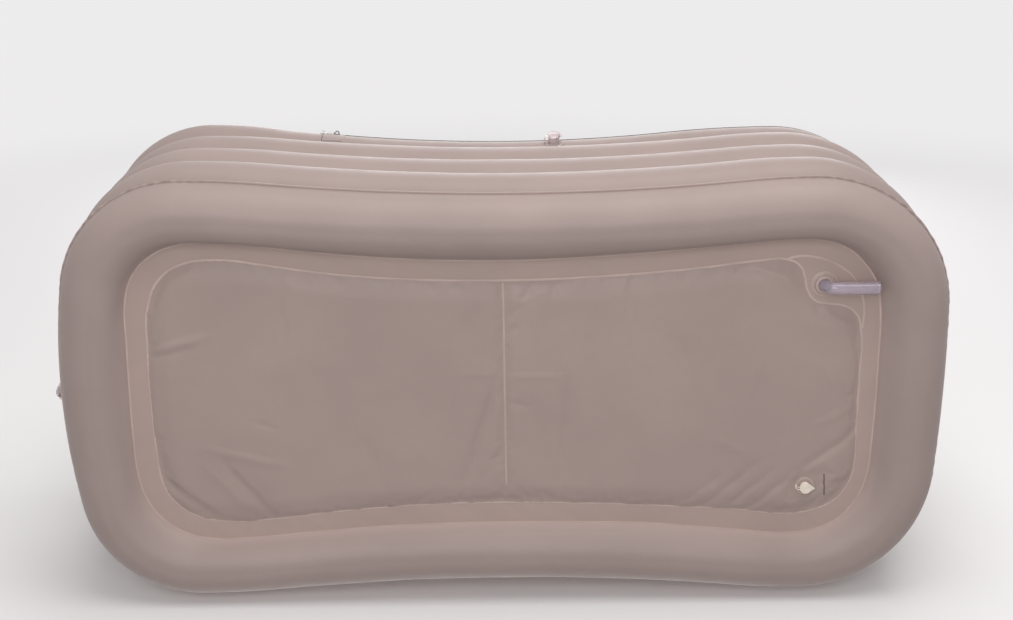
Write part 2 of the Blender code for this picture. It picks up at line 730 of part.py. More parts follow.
# Drain: a collar welded under the floor, a clear spout that turns in it, and the stopper above
drain_seat = empty_at("drain_axis", Matrix.Translation((DRAIN_X, DRAIN_Y, 0.0)))
COLLAR_TOP = SHEET_BOTTOM - GAP
COLLAR_BOTTOM = COLLAR_TOP - COLLAR_LENGTH
collar = turned(
    "drain_collar",
    [
        (COLLAR_BORE_RADIUS, COLLAR_BOTTOM),
        (COLLAR_BORE_RADIUS, COLLAR_TOP),
        (COLLAR_FLANGE_RADIUS, COLLAR_TOP),
        (COLLAR_FLANGE_RADIUS, COLLAR_TOP - COLLAR_FLANGE_THICKNESS),
        (COLLAR_RADIUS, COLLAR_TOP - COLLAR_FLANGE_THICKNESS),
        (COLLAR_RADIUS, COLLAR_BOTTOM),
        (COLLAR_BORE_RADIUS, COLLAR_BOTTOM),
    ],
    24,
)
place(collar, CREAM, 0.30, parent=drain_seat)

SPOUT_TOP = COLLAR_TOP - SPOUT_ENTRY_DEPTH
BEND_TOP = COLLAR_BOTTOM - GAP


def spout_route(overrun):
    """The spout's middle line: down out of the collar, round the bend and away along +X."""
    bend = [
        (
            SPOUT_BEND_RADIUS - SPOUT_BEND_RADIUS * math.cos(turn),
            0.0,
            BEND_TOP - SPOUT_BEND_RADIUS * math.sin(turn),
        )
        for turn in (math.radians(90 * step / SPOUT_BEND_POINTS) for step in range(SPOUT_BEND_POINTS + 1))
    ]
    end = (SPOUT_REACH + overrun, 0.0, BEND_TOP - SPOUT_BEND_RADIUS)
    return [(0.0, 0.0, SPOUT_TOP + overrun)] + bend + [end]


spout = tube("drain_spout", spout_route(0.0), SPOUT_RADIUS, 4)
spout_bore = tube("spout_bore_cutter", spout_route(CUT_OVERRUN), SPOUT_RADIUS - SPOUT_WALL, 2)
spout_bore.parent = drain_seat
boolean(spout, place_cutter(spout_bore))
smooth(spout)
place(spout, CLEAR, 0.12, alpha=0.55, parent=drain_seat)

STOPPER_SEAT = SHEET_TOP + GAP
stopper = turned(
    "drain_stopper",
    [
        (0.0, STOPPER_SEAT + STOPPER_THICKNESS + STOPPER_KNOB_HEIGHT),
        (STOPPER_KNOB_RADIUS, STOPPER_SEAT + STOPPER_THICKNESS + STOPPER_KNOB_HEIGHT),
        (STOPPER_KNOB_RADIUS / 2, STOPPER_SEAT + STOPPER_THICKNESS),
        (STOPPER_RADIUS, STOPPER_SEAT + STOPPER_THICKNESS),
        (STOPPER_RADIUS, STOPPER_SEAT),
        (STOPPER_PLUG_RADIUS, STOPPER_SEAT),
        (STOPPER_PLUG_RADIUS, STOPPER_SEAT - STOPPER_PLUG_LENGTH),
        (0.0, STOPPER_SEAT - STOPPER_PLUG_LENGTH),
    ],
    24,
)
place(stopper, CREAM, 0.35, parent=drain_seat)


# Valves: a welded flange with its stem, a cap with a plug and a lifting tab, and the cap's strap
def seat_matrix(origin, outward, away_from_hinge):
    """A frame on a surface: +Z outwards, +X from the hinge towards the lifting tab."""
    z_axis = Vector(outward).normalized()
    y_axis = z_axis.cross(Vector(away_from_hinge)).normalized()
    x_axis = y_axis.cross(z_axis)
    rotation = Matrix((x_axis, y_axis, z_axis)).transposed().to_4x4()
    return Matrix.Translation(origin) @ rotation


def build_valve(name, sizes, stem, seat, root_depth=0.0, seat_cutter=None):
    """One valve on its seat; root_depth lets the flange reach a curved face, which then cuts it."""
    top = sizes["flange_thickness"] + stem
    bore_bottom = top - sizes["plug_length"] - 4 * GAP
    hinge_height = top - HINGE_DROP
    base = empty_at(name + "_seat", seat)
    body = turned(
        name + "_body",
        [
            (0.0, bore_bottom),
            (sizes["bore_radius"], bore_bottom),
            (sizes["bore_radius"], top),
            (sizes["stem_radius"], top),
            (sizes["stem_radius"], sizes["flange_thickness"]),
            (sizes["flange_radius"], sizes["flange_thickness"]),
            (sizes["flange_radius"], GAP - root_depth),
            (0.0, GAP - root_depth),
        ],
    )
    body.parent = base
    lug_bottom = sizes["flange_thickness"] / 2
    lug_top = hinge_height - HINGE_BARREL_RADIUS - GAP
    lug = block(
        name + "_lug",
        (HINGE_LUG_LENGTH, sizes["strap_width"], lug_top - lug_bottom),
        (-sizes["hinge_reach"], 0.0, (lug_top + lug_bottom) / 2),
    )
    lug.parent = base
    boolean(body, place_cutter(lug), "UNION")
    if seat_cutter is not None:
        boolean(body, seat_cutter)
    place(body, CREAM, 0.30, parent=base)

    hinge_place = Matrix.Translation((-sizes["hinge_reach"], 0.0, hinge_height))
    hinge = empty_at(name + "_hinge", hinge_place, base)
    to_hinge = Vector((sizes["hinge_reach"], 0.0, -hinge_height))
    under = top + GAP
    over = under + sizes["cap_thickness"]
    crown = sizes["cap_thickness"] * CAP_CROWN_SHARE
    cap = turned(
        name + "_cap",
        [
            (0.0, over),
            (sizes["cap_radius"] * (1 - CAP_CROWN_SHARE), over),
            (sizes["cap_radius"], over - crown),
            (sizes["cap_radius"], under),
            (sizes["plug_radius"], under),
            (sizes["plug_tip_radius"], under - sizes["plug_length"]),
            (0.0, under - sizes["plug_length"]),
        ],
    )
    cap.location = to_hinge
    tab_outline = [
        (0.0, -sizes["cap_radius"] / 2),
        (sizes["cap_radius"], -sizes["cap_radius"] / 2),
        (sizes["cap_radius"] + sizes["tab_length"], -sizes["tab_length"] / 4),
        (sizes["cap_radius"] + sizes["tab_length"], sizes["tab_length"] / 4),
        (sizes["cap_radius"], sizes["cap_radius"] / 2),
        (0.0, sizes["cap_radius"] / 2),
    ]
    tab = flat_plate(name + "_tab", [tab_outline], STRAP_THICKNESS)
    tab.parent = hinge
    tab.location = to_hinge + Vector((0.0, 0.0, under + STRAP_THICKNESS))
    boolean(cap, place_cutter(tab), "UNION")
    place(cap, CREAM, 0.30, parent=hinge)

    inner = sizes["hinge_reach"] - sizes["cap_radius"] - GAP
    arm_low = under - hinge_height
    arm_high = arm_low + STRAP_THICKNESS
    barrel = [
        (HINGE_BARREL_RADIUS * math.cos(turn), HINGE_BARREL_RADIUS * math.sin(turn))
        for turn in (math.radians(180 + 45 * step) for step in range(5))
    ]
    strap_outline = (
        [(inner, arm_low), (inner, arm_high), (-HINGE_BARREL_RADIUS, arm_high)]
        + barrel
        + [(HINGE_BARREL_RADIUS, arm_low)]
    )
    strap = flat_plate(name + "_strap", [strap_outline], sizes["strap_width"])
    strap.data.transform(Matrix.Rotation(math.radians(90), 4, "X"))
    slot_start = 2 * HINGE_BARREL_RADIUS
    slot_end = inner - HINGE_BARREL_RADIUS
    slot = block(
        name + "_slot",
        (slot_end - slot_start, sizes["strap_width"] * STRAP_SLOT_SHARE, 4 * STRAP_THICKNESS),
        ((slot_start + slot_end) / 2, 0.0, (arm_low + arm_high) / 2),
    )
    slot.parent = hinge
    boolean(strap, place_cutter(slot))
    place(strap, CREAM, 0.35, parent=hinge)


floor_valve_seat = seat_matrix((FLOOR_VALVE_X, FLOOR_VALVE_Y, PAD_BOTTOM), (0, 0, -1), (1, 0, 0))
build_valve("floor_valve", SMALL_VALVE, FLOOR_VALVE_STEM, floor_valve_seat)

base_seat_section = offset_loop(base_section(False), GAP)
base_seat_cutter = closed_ring("base_seat_cutter", base_seat_section, WAIST_HALF_WIDTH, WALL_LOOP)
place_cutter(base_seat_cutter)
base_valve_turn = math.asin(BASE_VALVE_RISE / BASE_RING_RADIUS)
base_valve_outward = Vector((-math.cos(base_valve_turn), 0.0, math.sin(base_valve_turn)))
base_valve_point = (
    BASE_RING_RADIUS * (1 - math.cos(base_valve_turn)) - HALF_LENGTH,
    0.0,
    BASE_CENTRE_Z + BASE_VALVE_RISE,
)
base_seat = seat_matrix(base_valve_point, base_valve_outward, (0, 1, 0))
build_valve("base_valve", SMALL_VALVE, BASE_VALVE_STEM, base_seat, CUT_OVERRUN, base_seat_cutter)

rim_seat_section = offset_loop(RIM_SECTION, 2 * GAP + SKIRT_THICKNESS)
rim_seat_cutter = closed_ring("rim_seat_cutter", rim_seat_section, RIM_WAIST_HALF_WIDTH, RIM_LOOP)
place_cutter(rim_seat_cutter)
wall_valve_around = rim_turn(WALL_VALVE_X)
wall_valve_tilt = math.asin(WALL_VALVE_DROP / BULGE_RADIUS)
wall_valve_inward = BULGE_RADIUS * (1 - math.cos(wall_valve_tilt)) - SKIRT_THICKNESS - GAP
wall_valve_outward = Vector(
    (
        -math.sin(wall_valve_around) * math.cos(wall_valve_tilt),
        -math.cos(wall_valve_around) * math.cos(wall_valve_tilt),
        -math.sin(wall_valve_tilt),
    )
)
wall_valve_point = RIM_WAIST_CENTRE + (RIM_WAIST_RADIUS + wall_valve_inward) * Vector(
    (math.sin(wall_valve_around), math.cos(wall_valve_around), 0.0)
)
wall_valve_point.z = RIM_Z - WALL_VALVE_DROP
wall_seat = seat_matrix(wall_valve_point, wall_valve_outward, (1, 0, 0))
build_valve("wall_valve", WALL_VALVE, WALL_VALVE_STEM, wall_seat, CUT_OVERRUN, rim_seat_cutter)


# Zip: a skirt welded to the rim ring, a tape on it, the teeth, and the tape sewn to the cover
def rim_face(bottom, top):
    """The rim ring's outer face between two heights, as the run of its section's points."""
    rising = RIM_OUTER_LOWER + RIM_CROWN[: RIM_CROWN_STEPS // 2 + 1]

    def inward_at(height):
        for (low_in, low), (high_in, high) in zip(rising, rising[1:]):
            if low <= height <= high:
                return low_in + (high_in - low_in) * (height - low) / (high - low)
        return rising[-1][0]

    between = [point for point in rising if bottom + GAP < point[1] < top - GAP]
    return [(inward_at(bottom), bottom)] + between + [(inward_at(top), top)]


ZIP_LINE_Z = RIM_Z + ZIP_LINE_RISE
TEETH_BOTTOM = ZIP_LINE_Z - TEETH_HEIGHT / 2
TEETH_TOP = ZIP_LINE_Z + TEETH_HEIGHT / 2
RIM_TAPE_TOP = TEETH_BOTTOM - GAP
RIM_TAPE_BOTTOM = RIM_TAPE_TOP - TAPE_HEIGHT
SKIRT_TOP = RIM_TAPE_BOTTOM - GAP
SKIRT_BOTTOM = RIM_Z - HALF_RING + SKIRT_WELD_MARGIN
COVER_TAPE_BOTTOM = TEETH_TOP + GAP
COVER_TAPE_TOP = COVER_TAPE_BOTTOM + TAPE_HEIGHT
COVER_BOTTOM = COVER_TAPE_TOP + GAP


def zip_strip(name, bottom, top, thickness, arcs=ZIP_RUN, start_turn=ZIP_TURN, lift=GAP):
    section = band(rim_face(bottom, top), lift, lift + thickness)
    return open_run(name, section, RIM_WAIST_HALF_WIDTH, arcs, start_turn)


place(zip_strip("zip_skirt", SKIRT_BOTTOM, SKIRT_TOP, SKIRT_THICKNESS), TAUPE, 0.45)
place(zip_strip("zip_rim_tape", RIM_TAPE_BOTTOM, RIM_TAPE_TOP, TAPE_THICKNESS), DARK_TAUPE, 0.8)
place(zip_strip("zip_teeth", TEETH_BOTTOM, TEETH_TOP, TEETH_THICKNESS), GRAPHITE, 0.5)
place(zip_strip("zip_cover_tape", COVER_TAPE_BOTTOM, COVER_TAPE_TOP, TAPE_THICKNESS), DARK_TAUPE, 0.8)

PATCH_LIFT = GAP + SKIRT_THICKNESS + GAP
patch_turn = PATCH_LENGTH / RIM_WAIST_RADIUS
start_patch_run = [(0.0, RIM_WAIST_CENTRE.y, -patch_turn, 1)]
start_patch = zip_strip(
    "zip_start_patch",
    SKIRT_BOTTOM - PATCH_MARGIN,
    SKIRT_TOP,
    PATCH_THICKNESS,
    start_patch_run,
    ZIP_TURN,
    PATCH_LIFT,
)
place(start_patch, TAUPE, 0.45)
end_patch = zip_strip(
    "zip_end_patch",
    SKIRT_BOTTOM - PATCH_MARGIN,
    SKIRT_TOP,
    PATCH_THICKNESS,
    start_patch_run,
    ZIP_TURN,
    PATCH_LIFT,
)
end_patch.data.transform(Matrix.Diagonal((1.0, -1.0, 1.0, 1.0)))
end_patch.data.flip_normals()
place(end_patch, TAUPE, 0.45)


def zip_frame(x):
    """A frame on the rim's face at the teeth: +X towards the zip's start, +Y outwards, +Z upwards."""
    around = rim_turn(x)
    face = rim_face(RIM_Z, TEETH_TOP)
    low, high = face[0], face[-1]
    lean = math.atan2(high[0] - low[0], high[1] - low[1])
    inward = low[0] + (high[0] - low[0]) * ZIP_LINE_RISE / (high[1] - low[1])
    outward = Vector((-math.sin(around), -math.cos(around), 0.0))
    x_axis = Vector((-math.cos(around), math.sin(around), 0.0))
    y_axis = outward * math.cos(lean) + Vector((0.0, 0.0, math.sin(lean)))
    z_axis = x_axis.cross(y_axis)
    point = RIM_WAIST_CENTRE - (RIM_WAIST_RADIUS + inward) * outward
    point.z = ZIP_LINE_Z
    return Matrix.Translation(point) @ Matrix((x_axis, y_axis, z_axis)).transposed().to_4x4()


def zip_stop(name, side):
    """A stop clamped over the last teeth, on the -Y side (side 1) or the +Y side (side -1)."""
    bm = bmesh.new()
    size = (STOP_LENGTH, STOP_THICKNESS, STOP_HEIGHT)
    out = GAP + TEETH_THICKNESS + GAP + STOP_THICKNESS / 2
    bmesh.ops.create_cube(bm, size=1.0, matrix=Matrix.Diagonal((*size, 1.0)))
    bmesh.ops.translate(bm, vec=(0.0, out, 0.0), verts=bm.verts)
    mirror = Matrix.Diagonal((1.0, side, 1.0, 1.0))
    at_end = zip_frame(STOP_SETBACK - ZIP_START_X)
    bmesh.ops.transform(bm, matrix=mirror @ at_end, verts=bm.verts)
    bmesh.ops.recalc_face_normals(bm, faces=bm.faces)
    return place(mesh_object(name, bm), STEEL, 0.35, 1.0)


zip_stop("zip_start_stop", 1)
zip_stop("zip_end_stop", -1)

# Zip slider: a channel over the teeth with a crown, and the pull that turns under the crown
slider_axis = empty_at("zip_slider_axis", Matrix.Translation(RIM_WAIST_CENTRE))
slider_frame = Matrix.Translation(-RIM_WAIST_CENTRE) @ zip_frame(SLIDER_SETBACK - ZIP_START_X)
slider_seat = empty_at("zip_slider_seat", slider_frame, slider_axis)
LIP_BOTTOM = GAP + TAPE_THICKNESS + SLIDER_CLEARANCE
CHANNEL_TOP = GAP + TEETH_THICKNESS + SLIDER_CLEARANCE
SLIDER_TOP = CHANNEL_TOP + SLIDER_PLATE
slider = block(
    "zip_slider",
    (SLIDER_LENGTH, SLIDER_TOP - LIP_BOTTOM, SLIDER_HEIGHT),
    (0.0, (SLIDER_TOP + LIP_BOTTOM) / 2, 0.0),
    SLIDER_BEVEL,
    1,
)
slider_channel = block(
    "slider_channel_cutter",
    (
        SLIDER_LENGTH + 2 * CUT_OVERRUN,
        CHANNEL_TOP - LIP_BOTTOM + CUT_OVERRUN,
        TEETH_HEIGHT + 2 * SLIDER_CLEARANCE,
    ),
    (0.0, (CHANNEL_TOP + LIP_BOTTOM - CUT_OVERRUN) / 2, 0.0),
)
slider_channel.parent = slider_seat
boolean(slider, place_cutter(slider_channel))
crown_bm = bmesh.new()
crown_ring = bmesh.ops.create_circle(
    crown_bm,
    segments=6,
    radius=CROWN_ROD_RADIUS,
    matrix=Matrix.Translation((CROWN_RADIUS, 0.0, 0.0)) @ Matrix.Rotation(math.radians(90), 4, "X"),
)
crown_edges = list({edge for vert in crown_ring["verts"] for edge in vert.link_edges})
bmesh.ops.spin(
    crown_bm,
    geom=crown_ring["verts"] + crown_edges,
    cent=(0.0, 0.0, 0.0),
    axis=(0.0, 0.0, 1.0),
    angle=math.radians(360),
    steps=12,
    use_merge=True,
)
bmesh.ops.remove_doubles(crown_bm, verts=crown_bm.verts, dist=GAP / 10)
bmesh.ops.translate(crown_bm, vec=(0.0, SLIDER_TOP + CROWN_LIFT, 0.0), verts=crown_bm.verts)
bmesh.ops.recalc_face_normals(crown_bm, faces=crown_bm.faces)
crown = mesh_object("slider_crown", crown_bm)
crown.parent = slider_seat
boolean(slider, place_cutter(crown), "UNION")
place(slider, GRAPHITE, 0.32, 0.9, parent=slider_seat)

pull_seat = empty_at(
    "zip_pull_axis", Matrix.Translation((0.0, SLIDER_TOP + PULL_PIN_HEIGHT, 0.0)), slider_seat
)
half_pull = PULL_WIDTH / 2
pull_outline = [
    (-PULL_PIN_HALF, -half_pull),
    (PULL_LENGTH * PULL_TIP_SHARE, -half_pull),
    (PULL_LENGTH, -half_pull * PULL_TIP_SHARE),
    (PULL_LENGTH, half_pull * PULL_TIP_SHARE),
    (PULL_LENGTH * PULL_TIP_SHARE, half_pull),
    (-PULL_PIN_HALF, half_pull),
]
pull_window = [
    (PULL_PIN_HALF, -PULL_WINDOW_HALF_WIDTH),
    (PULL_PIN_HALF, PULL_WINDOW_HALF_WIDTH),
    (PULL_PIN_HALF + PULL_WINDOW_LENGTH, PULL_WINDOW_HALF_WIDTH),
    (PULL_PIN_HALF + PULL_WINDOW_LENGTH, -PULL_WINDOW_HALF_WIDTH),
]
pull = flat_plate("zip_pull", [pull_outline, pull_window], PULL_THICKNESS)
pull.data.transform(Matrix.Rotation(math.radians(90), 4, "X"))
place(pull, STEEL, 0.25, 1.0, parent=pull_seat)


# Cover: a sheet from the zip over the rim and flat across, with a neck opening at the head end
def build_cover():
    crest = RIM_CROWN[RIM_CROWN_STEPS // 2]
    draped = offset_line(rim_face(COVER_BOTTOM, crest[1]) + [(crest[0] + COVER_LAND, crest[1])], GAP)
    bm, _, _ = sweep(draped, False, RIM_WAIST_HALF_WIDTH, ZIP_RUN, ZIP_TURN)
    row = bm.verts.layers.int["row"]
    last_row = len(draped) - 1
    land_edges = [edge for edge in bm.edges if all(vert[row] == last_row for vert in edge.verts)]
    land_verts = {vert for edge in land_edges for vert in edge.verts}
    corners = [vert for vert in land_verts if sum(edge in land_edges for edge in vert.link_edges) == 1]
    start, finish = sorted(corners, key=lambda vert: vert.co.y)
    neck = [start]
    for step in range(1, NECK_STEPS):
        place_of = neck_point(step / NECK_STEPS, start.co.x, start.co.y, start.co.z)
        neck.append(bm.verts.new(place_of))
    neck.append(finish)
    neck_edges = [bm.edges.new(pair) for pair in zip(neck, neck[1:])]
    bmesh.ops.contextual_create(bm, geom=land_edges + neck_edges)
    bmesh.ops.recalc_face_normals(bm, faces=bm.faces)
    if sum(face.normal.z * face.calc_area() for face in bm.faces) < 0:
        bmesh.ops.reverse_faces(bm, faces=bm.faces)
    obj = smooth(mesh_object("cover", bm))
    wall = obj.modifiers.new("thickness", "SOLIDIFY")
    wall.thickness = COVER_THICKNESS
    wall.offset = 1.0
    wall.use_even_offset = True
    return place(obj, TAUPE, 0.5)


def neck_point(share, side_x, side_y, height):
    """A point of the neck opening's round edge, from the -Y side to the +Y side."""
    half_chord = abs(side_y)
    radius = (half_chord**2 + NECK_DEPTH**2) / (2 * NECK_DEPTH)
    spread = math.asin(half_chord / radius)
    turn = -spread + 2 * spread * share
    x = side_x + NECK_DEPTH - radius + radius * math.cos(turn)
    return x, radius * math.sin(turn), height


build_cover()

cover_top_z = RIM_CROWN[RIM_CROWN_STEPS // 2][1] + GAP + COVER_THICKNESS
hem_reach = RIM_WAIST_RADIUS + WALL_THICKNESS / 2
hem_side_x = HEM_SETBACK - hem_reach * math.sin(ZIP_TURN)
hem_side_y = RIM_WAIST_CENTRE.y + hem_reach * math.cos(ZIP_TURN)
hem_route = [
    neck_point(step / NECK_STEPS, hem_side_x, hem_side_y, cover_top_z + GAP + HEM_RADIUS)
    for step in range(NECK_STEPS + 1)
]
hem = tube("cover_hem", hem_route, HEM_RADIUS, 1)
place(smooth(hem), DARK_TAUPE, 0.7)


# Head pillow: a crowned cushion welded along the inner crest of the rim ring
def build_pillow():
    bm = bmesh.new()
    bmesh.ops.create_cube(bm, size=1.0)
    bmesh.ops.subdivide_edges(bm, edges=bm.edges, cuts=PILLOW_CUTS, use_grid_fill=True)
    for vert in bm.verts:
        across = 2 * abs(vert.co.y)
        along = 2 * abs(vert.co.z)
        edge = max(across, along) ** PILLOW_CROWN_POWER
        vert.co.x *= 1 - PILLOW_PINCH_SHARE * edge
    bmesh.ops.transform(
        bm,
        matrix=Matrix.Diagonal((PILLOW_THICKNESS, PILLOW_WIDTH, PILLOW_HEIGHT, 1.0)),
        verts=bm.verts,
    )
    end_x, _, _, _ = turned_about(RIM_HEAD)[3]
    crest_radius = HALF_LENGTH + WALL_OUTSET + end_x - WALL_THICKNESS
    for vert in bm.verts:
        vert.co.x += crest_radius - math.sqrt(crest_radius**2 - vert.co.y**2)
    crest_x = -(HALF_LENGTH + WALL_OUTSET - WALL_THICKNESS)
    place_x = crest_x + PILLOW_THICKNESS / 2 - PILLOW_BACK_CROWN + GAP
    bmesh.ops.translate(bm, vec=(place_x, 0.0, RIM_Z - PILLOW_DROP), verts=bm.verts)
    obj = smooth(mesh_object("head_pillow", bm))
    soften = obj.modifiers.new("soften", "SUBSURF")
    soften.levels = 1
    soften.render_levels = 1
    return place(obj, TAUPE, 0.45)


build_pillow()
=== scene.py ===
import math

import bmesh
import bpy
import numpy as np
from mathutils import Matrix, Vector, noise
from mathutils.bvhtree import BVHTree
from mathutils.kdtree import KDTree


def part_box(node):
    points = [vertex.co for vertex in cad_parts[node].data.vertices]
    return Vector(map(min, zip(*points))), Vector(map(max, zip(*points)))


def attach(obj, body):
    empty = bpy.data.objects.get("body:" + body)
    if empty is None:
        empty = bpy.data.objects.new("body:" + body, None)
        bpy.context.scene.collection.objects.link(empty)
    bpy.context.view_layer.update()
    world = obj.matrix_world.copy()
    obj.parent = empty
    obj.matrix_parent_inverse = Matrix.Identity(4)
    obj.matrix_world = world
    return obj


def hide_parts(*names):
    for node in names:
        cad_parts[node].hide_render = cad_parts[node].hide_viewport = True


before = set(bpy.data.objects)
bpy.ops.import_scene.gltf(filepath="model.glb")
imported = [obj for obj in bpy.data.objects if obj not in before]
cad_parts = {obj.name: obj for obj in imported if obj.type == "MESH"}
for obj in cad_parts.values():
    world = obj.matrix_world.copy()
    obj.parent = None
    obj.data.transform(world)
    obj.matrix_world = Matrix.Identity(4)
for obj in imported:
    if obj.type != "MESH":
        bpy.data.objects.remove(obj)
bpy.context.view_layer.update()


# The studio: the ground below the tub, and the pale ground that the tub's long side lies against in
# the photograph. Each is seen from its front only and fades into the backdrop.
BACKDROP = (0.850, 0.838, 0.842, 1.0)
GROUND = (0.802, 0.785, 0.788, 1.0)
GROUND_HALF_WIDTH, GROUND_GAP, SIDE_GROUND_Y = 6.0, 0.0004, 0.4056
ROOM_LIGHT, ROOM_STRENGTH = (1.0, 0.99, 0.99, 1.0), 0.49
LAMP_AIM = (0.0, 0.0, 0.3)
SENSOR_WIDTH, LENS_LENGTH, NEAREST_SEEN, FARTHEST_SEEN = 36.0, 52.957, 0.05, 60.0
CAMERA_PLACE = (-0.03216, -1.00630, -2.45580)
CAMERA_LOOK, CAMERA_ABOVE = (0.013807, 0.319841, 0.947371), (0.008097, -0.947466, 0.319755)


def ground_material(name, fade_start, fade_end):
    """Matt pale paper, seen by the camera alone, from its front, and fading into the backdrop far away."""
    paper = bpy.data.materials.new(name)
    paper.use_nodes = True
    nodes, links = paper.node_tree.nodes, paper.node_tree.links
    nodes.clear()
    place = nodes.new("ShaderNodeTexCoord")
    reach = nodes.new("ShaderNodeVectorMath")
    reach.operation = "LENGTH"
    fade = nodes.new("ShaderNodeMapRange")
    fade.interpolation_type = "SMOOTHSTEP"
    fade.inputs["From Min"].default_value = fade_start
    fade.inputs["From Max"].default_value = fade_end
    fade.inputs["To Min"].default_value = 1.0
    fade.inputs["To Max"].default_value = 0.0
    side = nodes.new("ShaderNodeNewGeometry")
    rays = nodes.new("ShaderNodeLightPath")
    front = nodes.new("ShaderNodeMath")
    front.operation = "SUBTRACT"
    front.inputs[0].default_value = 1.0
    seen = nodes.new("ShaderNodeMath")
    seen.operation = "MULTIPLY"
    shown = nodes.new("ShaderNodeMath")
    shown.operation = "MULTIPLY"
    clear = nodes.new("ShaderNodeBsdfTransparent")
    matt = nodes.new("ShaderNodeBsdfDiffuse")
    matt.inputs["Color"].default_value = GROUND
    mix = nodes.new("ShaderNodeMixShader")
    out = nodes.new("ShaderNodeOutputMaterial")
    links.new(place.outputs["Object"], reach.inputs[0])
    links.new(reach.outputs["Value"], fade.inputs["Value"])
    links.new(side.outputs["Backfacing"], front.inputs[1])
    links.new(front.outputs[0], seen.inputs[0])
    links.new(rays.outputs["Is Camera Ray"], seen.inputs[1])
    links.new(seen.outputs[0], shown.inputs[0])
    links.new(fade.outputs["Result"], shown.inputs[1])
    links.new(shown.outputs[0], mix.inputs["Fac"])
    links.new(clear.outputs["BSDF"], mix.inputs[1])
    links.new(matt.outputs["BSDF"], mix.inputs[2])
    links.new(mix.outputs["Shader"], out.inputs["Surface"])
    return paper


def studio_ground(name, turn, centre, fade_start, fade_end):
    """A wide flat sheet of the ground, with its front along the turned +Z."""
    bm = bmesh.new()
    at = Matrix.Translation(centre) @ turn
    bmesh.ops.create_grid(bm, x_segments=1, y_segments=1, size=GROUND_HALF_WIDTH, matrix=at)
    mesh = bpy.data.meshes.new(name)
    bm.to_mesh(mesh)
    bm.free()
    mesh.materials.append(ground_material(name, fade_start, fade_end))
    sheet = bpy.data.objects.new(name, mesh)
    bpy.context.scene.collection.objects.link(sheet)


studio_ground("ground", Matrix.Identity(4), (0.0, 0.0, -GROUND_GAP), fade_start=0.7, fade_end=2.1)
upright = Matrix.Rotation(math.radians(90), 4, "X")
studio_ground("side_ground", upright, (0.0, SIDE_GROUND_Y, 0.0), fade_start=1.3, fade_end=5.0)

surround = bpy.data.worlds.new("surround")
bpy.context.scene.world = surround
surround.use_nodes = True
nodes, links = surround.node_tree.nodes, surround.node_tree.links
nodes.clear()
rays = nodes.new("ShaderNodeLightPath")
either = nodes.new("ShaderNodeMath")
either.operation = "MAXIMUM"
any_seen = nodes.new("ShaderNodeMath")
any_seen.operation = "MAXIMUM"
room_light = nodes.new("ShaderNodeBackground")
room_light.inputs["Color"].default_value = ROOM_LIGHT
room_light.inputs["Strength"].default_value = ROOM_STRENGTH
backdrop = nodes.new("ShaderNodeBackground")
backdrop.inputs["Color"].default_value = BACKDROP
pick = nodes.new("ShaderNodeMixShader")
out = nodes.new("ShaderNodeOutputWorld")
links.new(rays.outputs["Is Camera Ray"], either.inputs[0])
links.new(rays.outputs["Is Glossy Ray"], either.inputs[1])
links.new(either.outputs[0], any_seen.inputs[0])
links.new(rays.outputs["Is Transmission Ray"], any_seen.inputs[1])
links.new(any_seen.outputs[0], pick.inputs["Fac"])
links.new(room_light.outputs["Background"], pick.inputs[1])
links.new(backdrop.outputs["Background"], pick.inputs[2])
links.new(pick.outputs["Shader"], out.inputs["Surface"])


def soft_lamp(name, place, size, power):
    """A square softbox that shines at the tub's middle and isn't seen itself."""
    lamp = bpy.data.lights.new(name, "AREA")
    lamp.shape = "SQUARE"
    lamp.size = size
    lamp.energy = power
    stand = bpy.data.objects.new(name, lamp)
    stand.location = place
    stand.rotation_euler = (Vector(LAMP_AIM) - Vector(place)).to_track_quat("-Z", "Y").to_euler()
    stand.visible_camera = False
    bpy.context.scene.collection.objects.link(stand)


soft_lamp("overhead_softbox", (0.45, -3.2, -0.20), size=2.8, power=76.0)
soft_lamp("camera_side_softbox", (-0.3, -1.6, -3.4), size=2.4, power=63.0)
soft_lamp("top_softbox", (0.3, -0.8, 3.4), size=2.6, power=48.0)
soft_lamp("far_side_softbox", (-0.3, 3.2, 1.4), size=2.6, power=13.0)

lens = bpy.data.cameras.new("camera")
lens.sensor_width = SENSOR_WIDTH
lens.lens = LENS_LENGTH
lens.clip_start, lens.clip_end = NEAREST_SEEN, FARTHEST_SEEN
camera = bpy.data.objects.new("camera", lens)
look, above = Vector(CAMERA_LOOK), Vector(CAMERA_ABOVE)
camera.matrix_world = Matrix.Translation(CAMERA_PLACE) @ Matrix(
    (look.cross(above), above, -look)
).transposed().to_4x4()
bpy.context.scene.collection.objects.link(camera)
bpy.context.scene.camera = camera
bpy.context.scene.view_settings.view_transform = "Standard"


# Base air ring: a tube of satin vinyl film, welded along a fin round its widest line. Its plan is a
# chain of arcs, drawn in at the waist, and its underside is pressed flat where it stands.
HALF_LENGTH, HUMP_HALF_WIDTH, WAIST_HALF_WIDTH = 0.796, 0.395, 0.369
HEAD_CORNER_RADIUS, HEAD_END_BULGE = 0.217, 0.014
FOOT_CORNER_RADIUS, FOOT_END_BULGE = 0.245, 0.003
WAIST_ARC_SHARE = 0.777
BASE_RING_RADIUS, BASE_CENTRE_Z, BASE_TOP = 0.060, 0.05879, 0.11664
STATION_STEP, RING_SIDES = 0.0075, 48
JOIN_GAP = 0.00003
CORNER_RADIUS_LIMIT, CORNER_FADE, ARC_SLACK, FAR_AWAY = 0.4, 0.12, 0.01, 9.0
TAUPE = (0.322, 0.2515, 0.232)
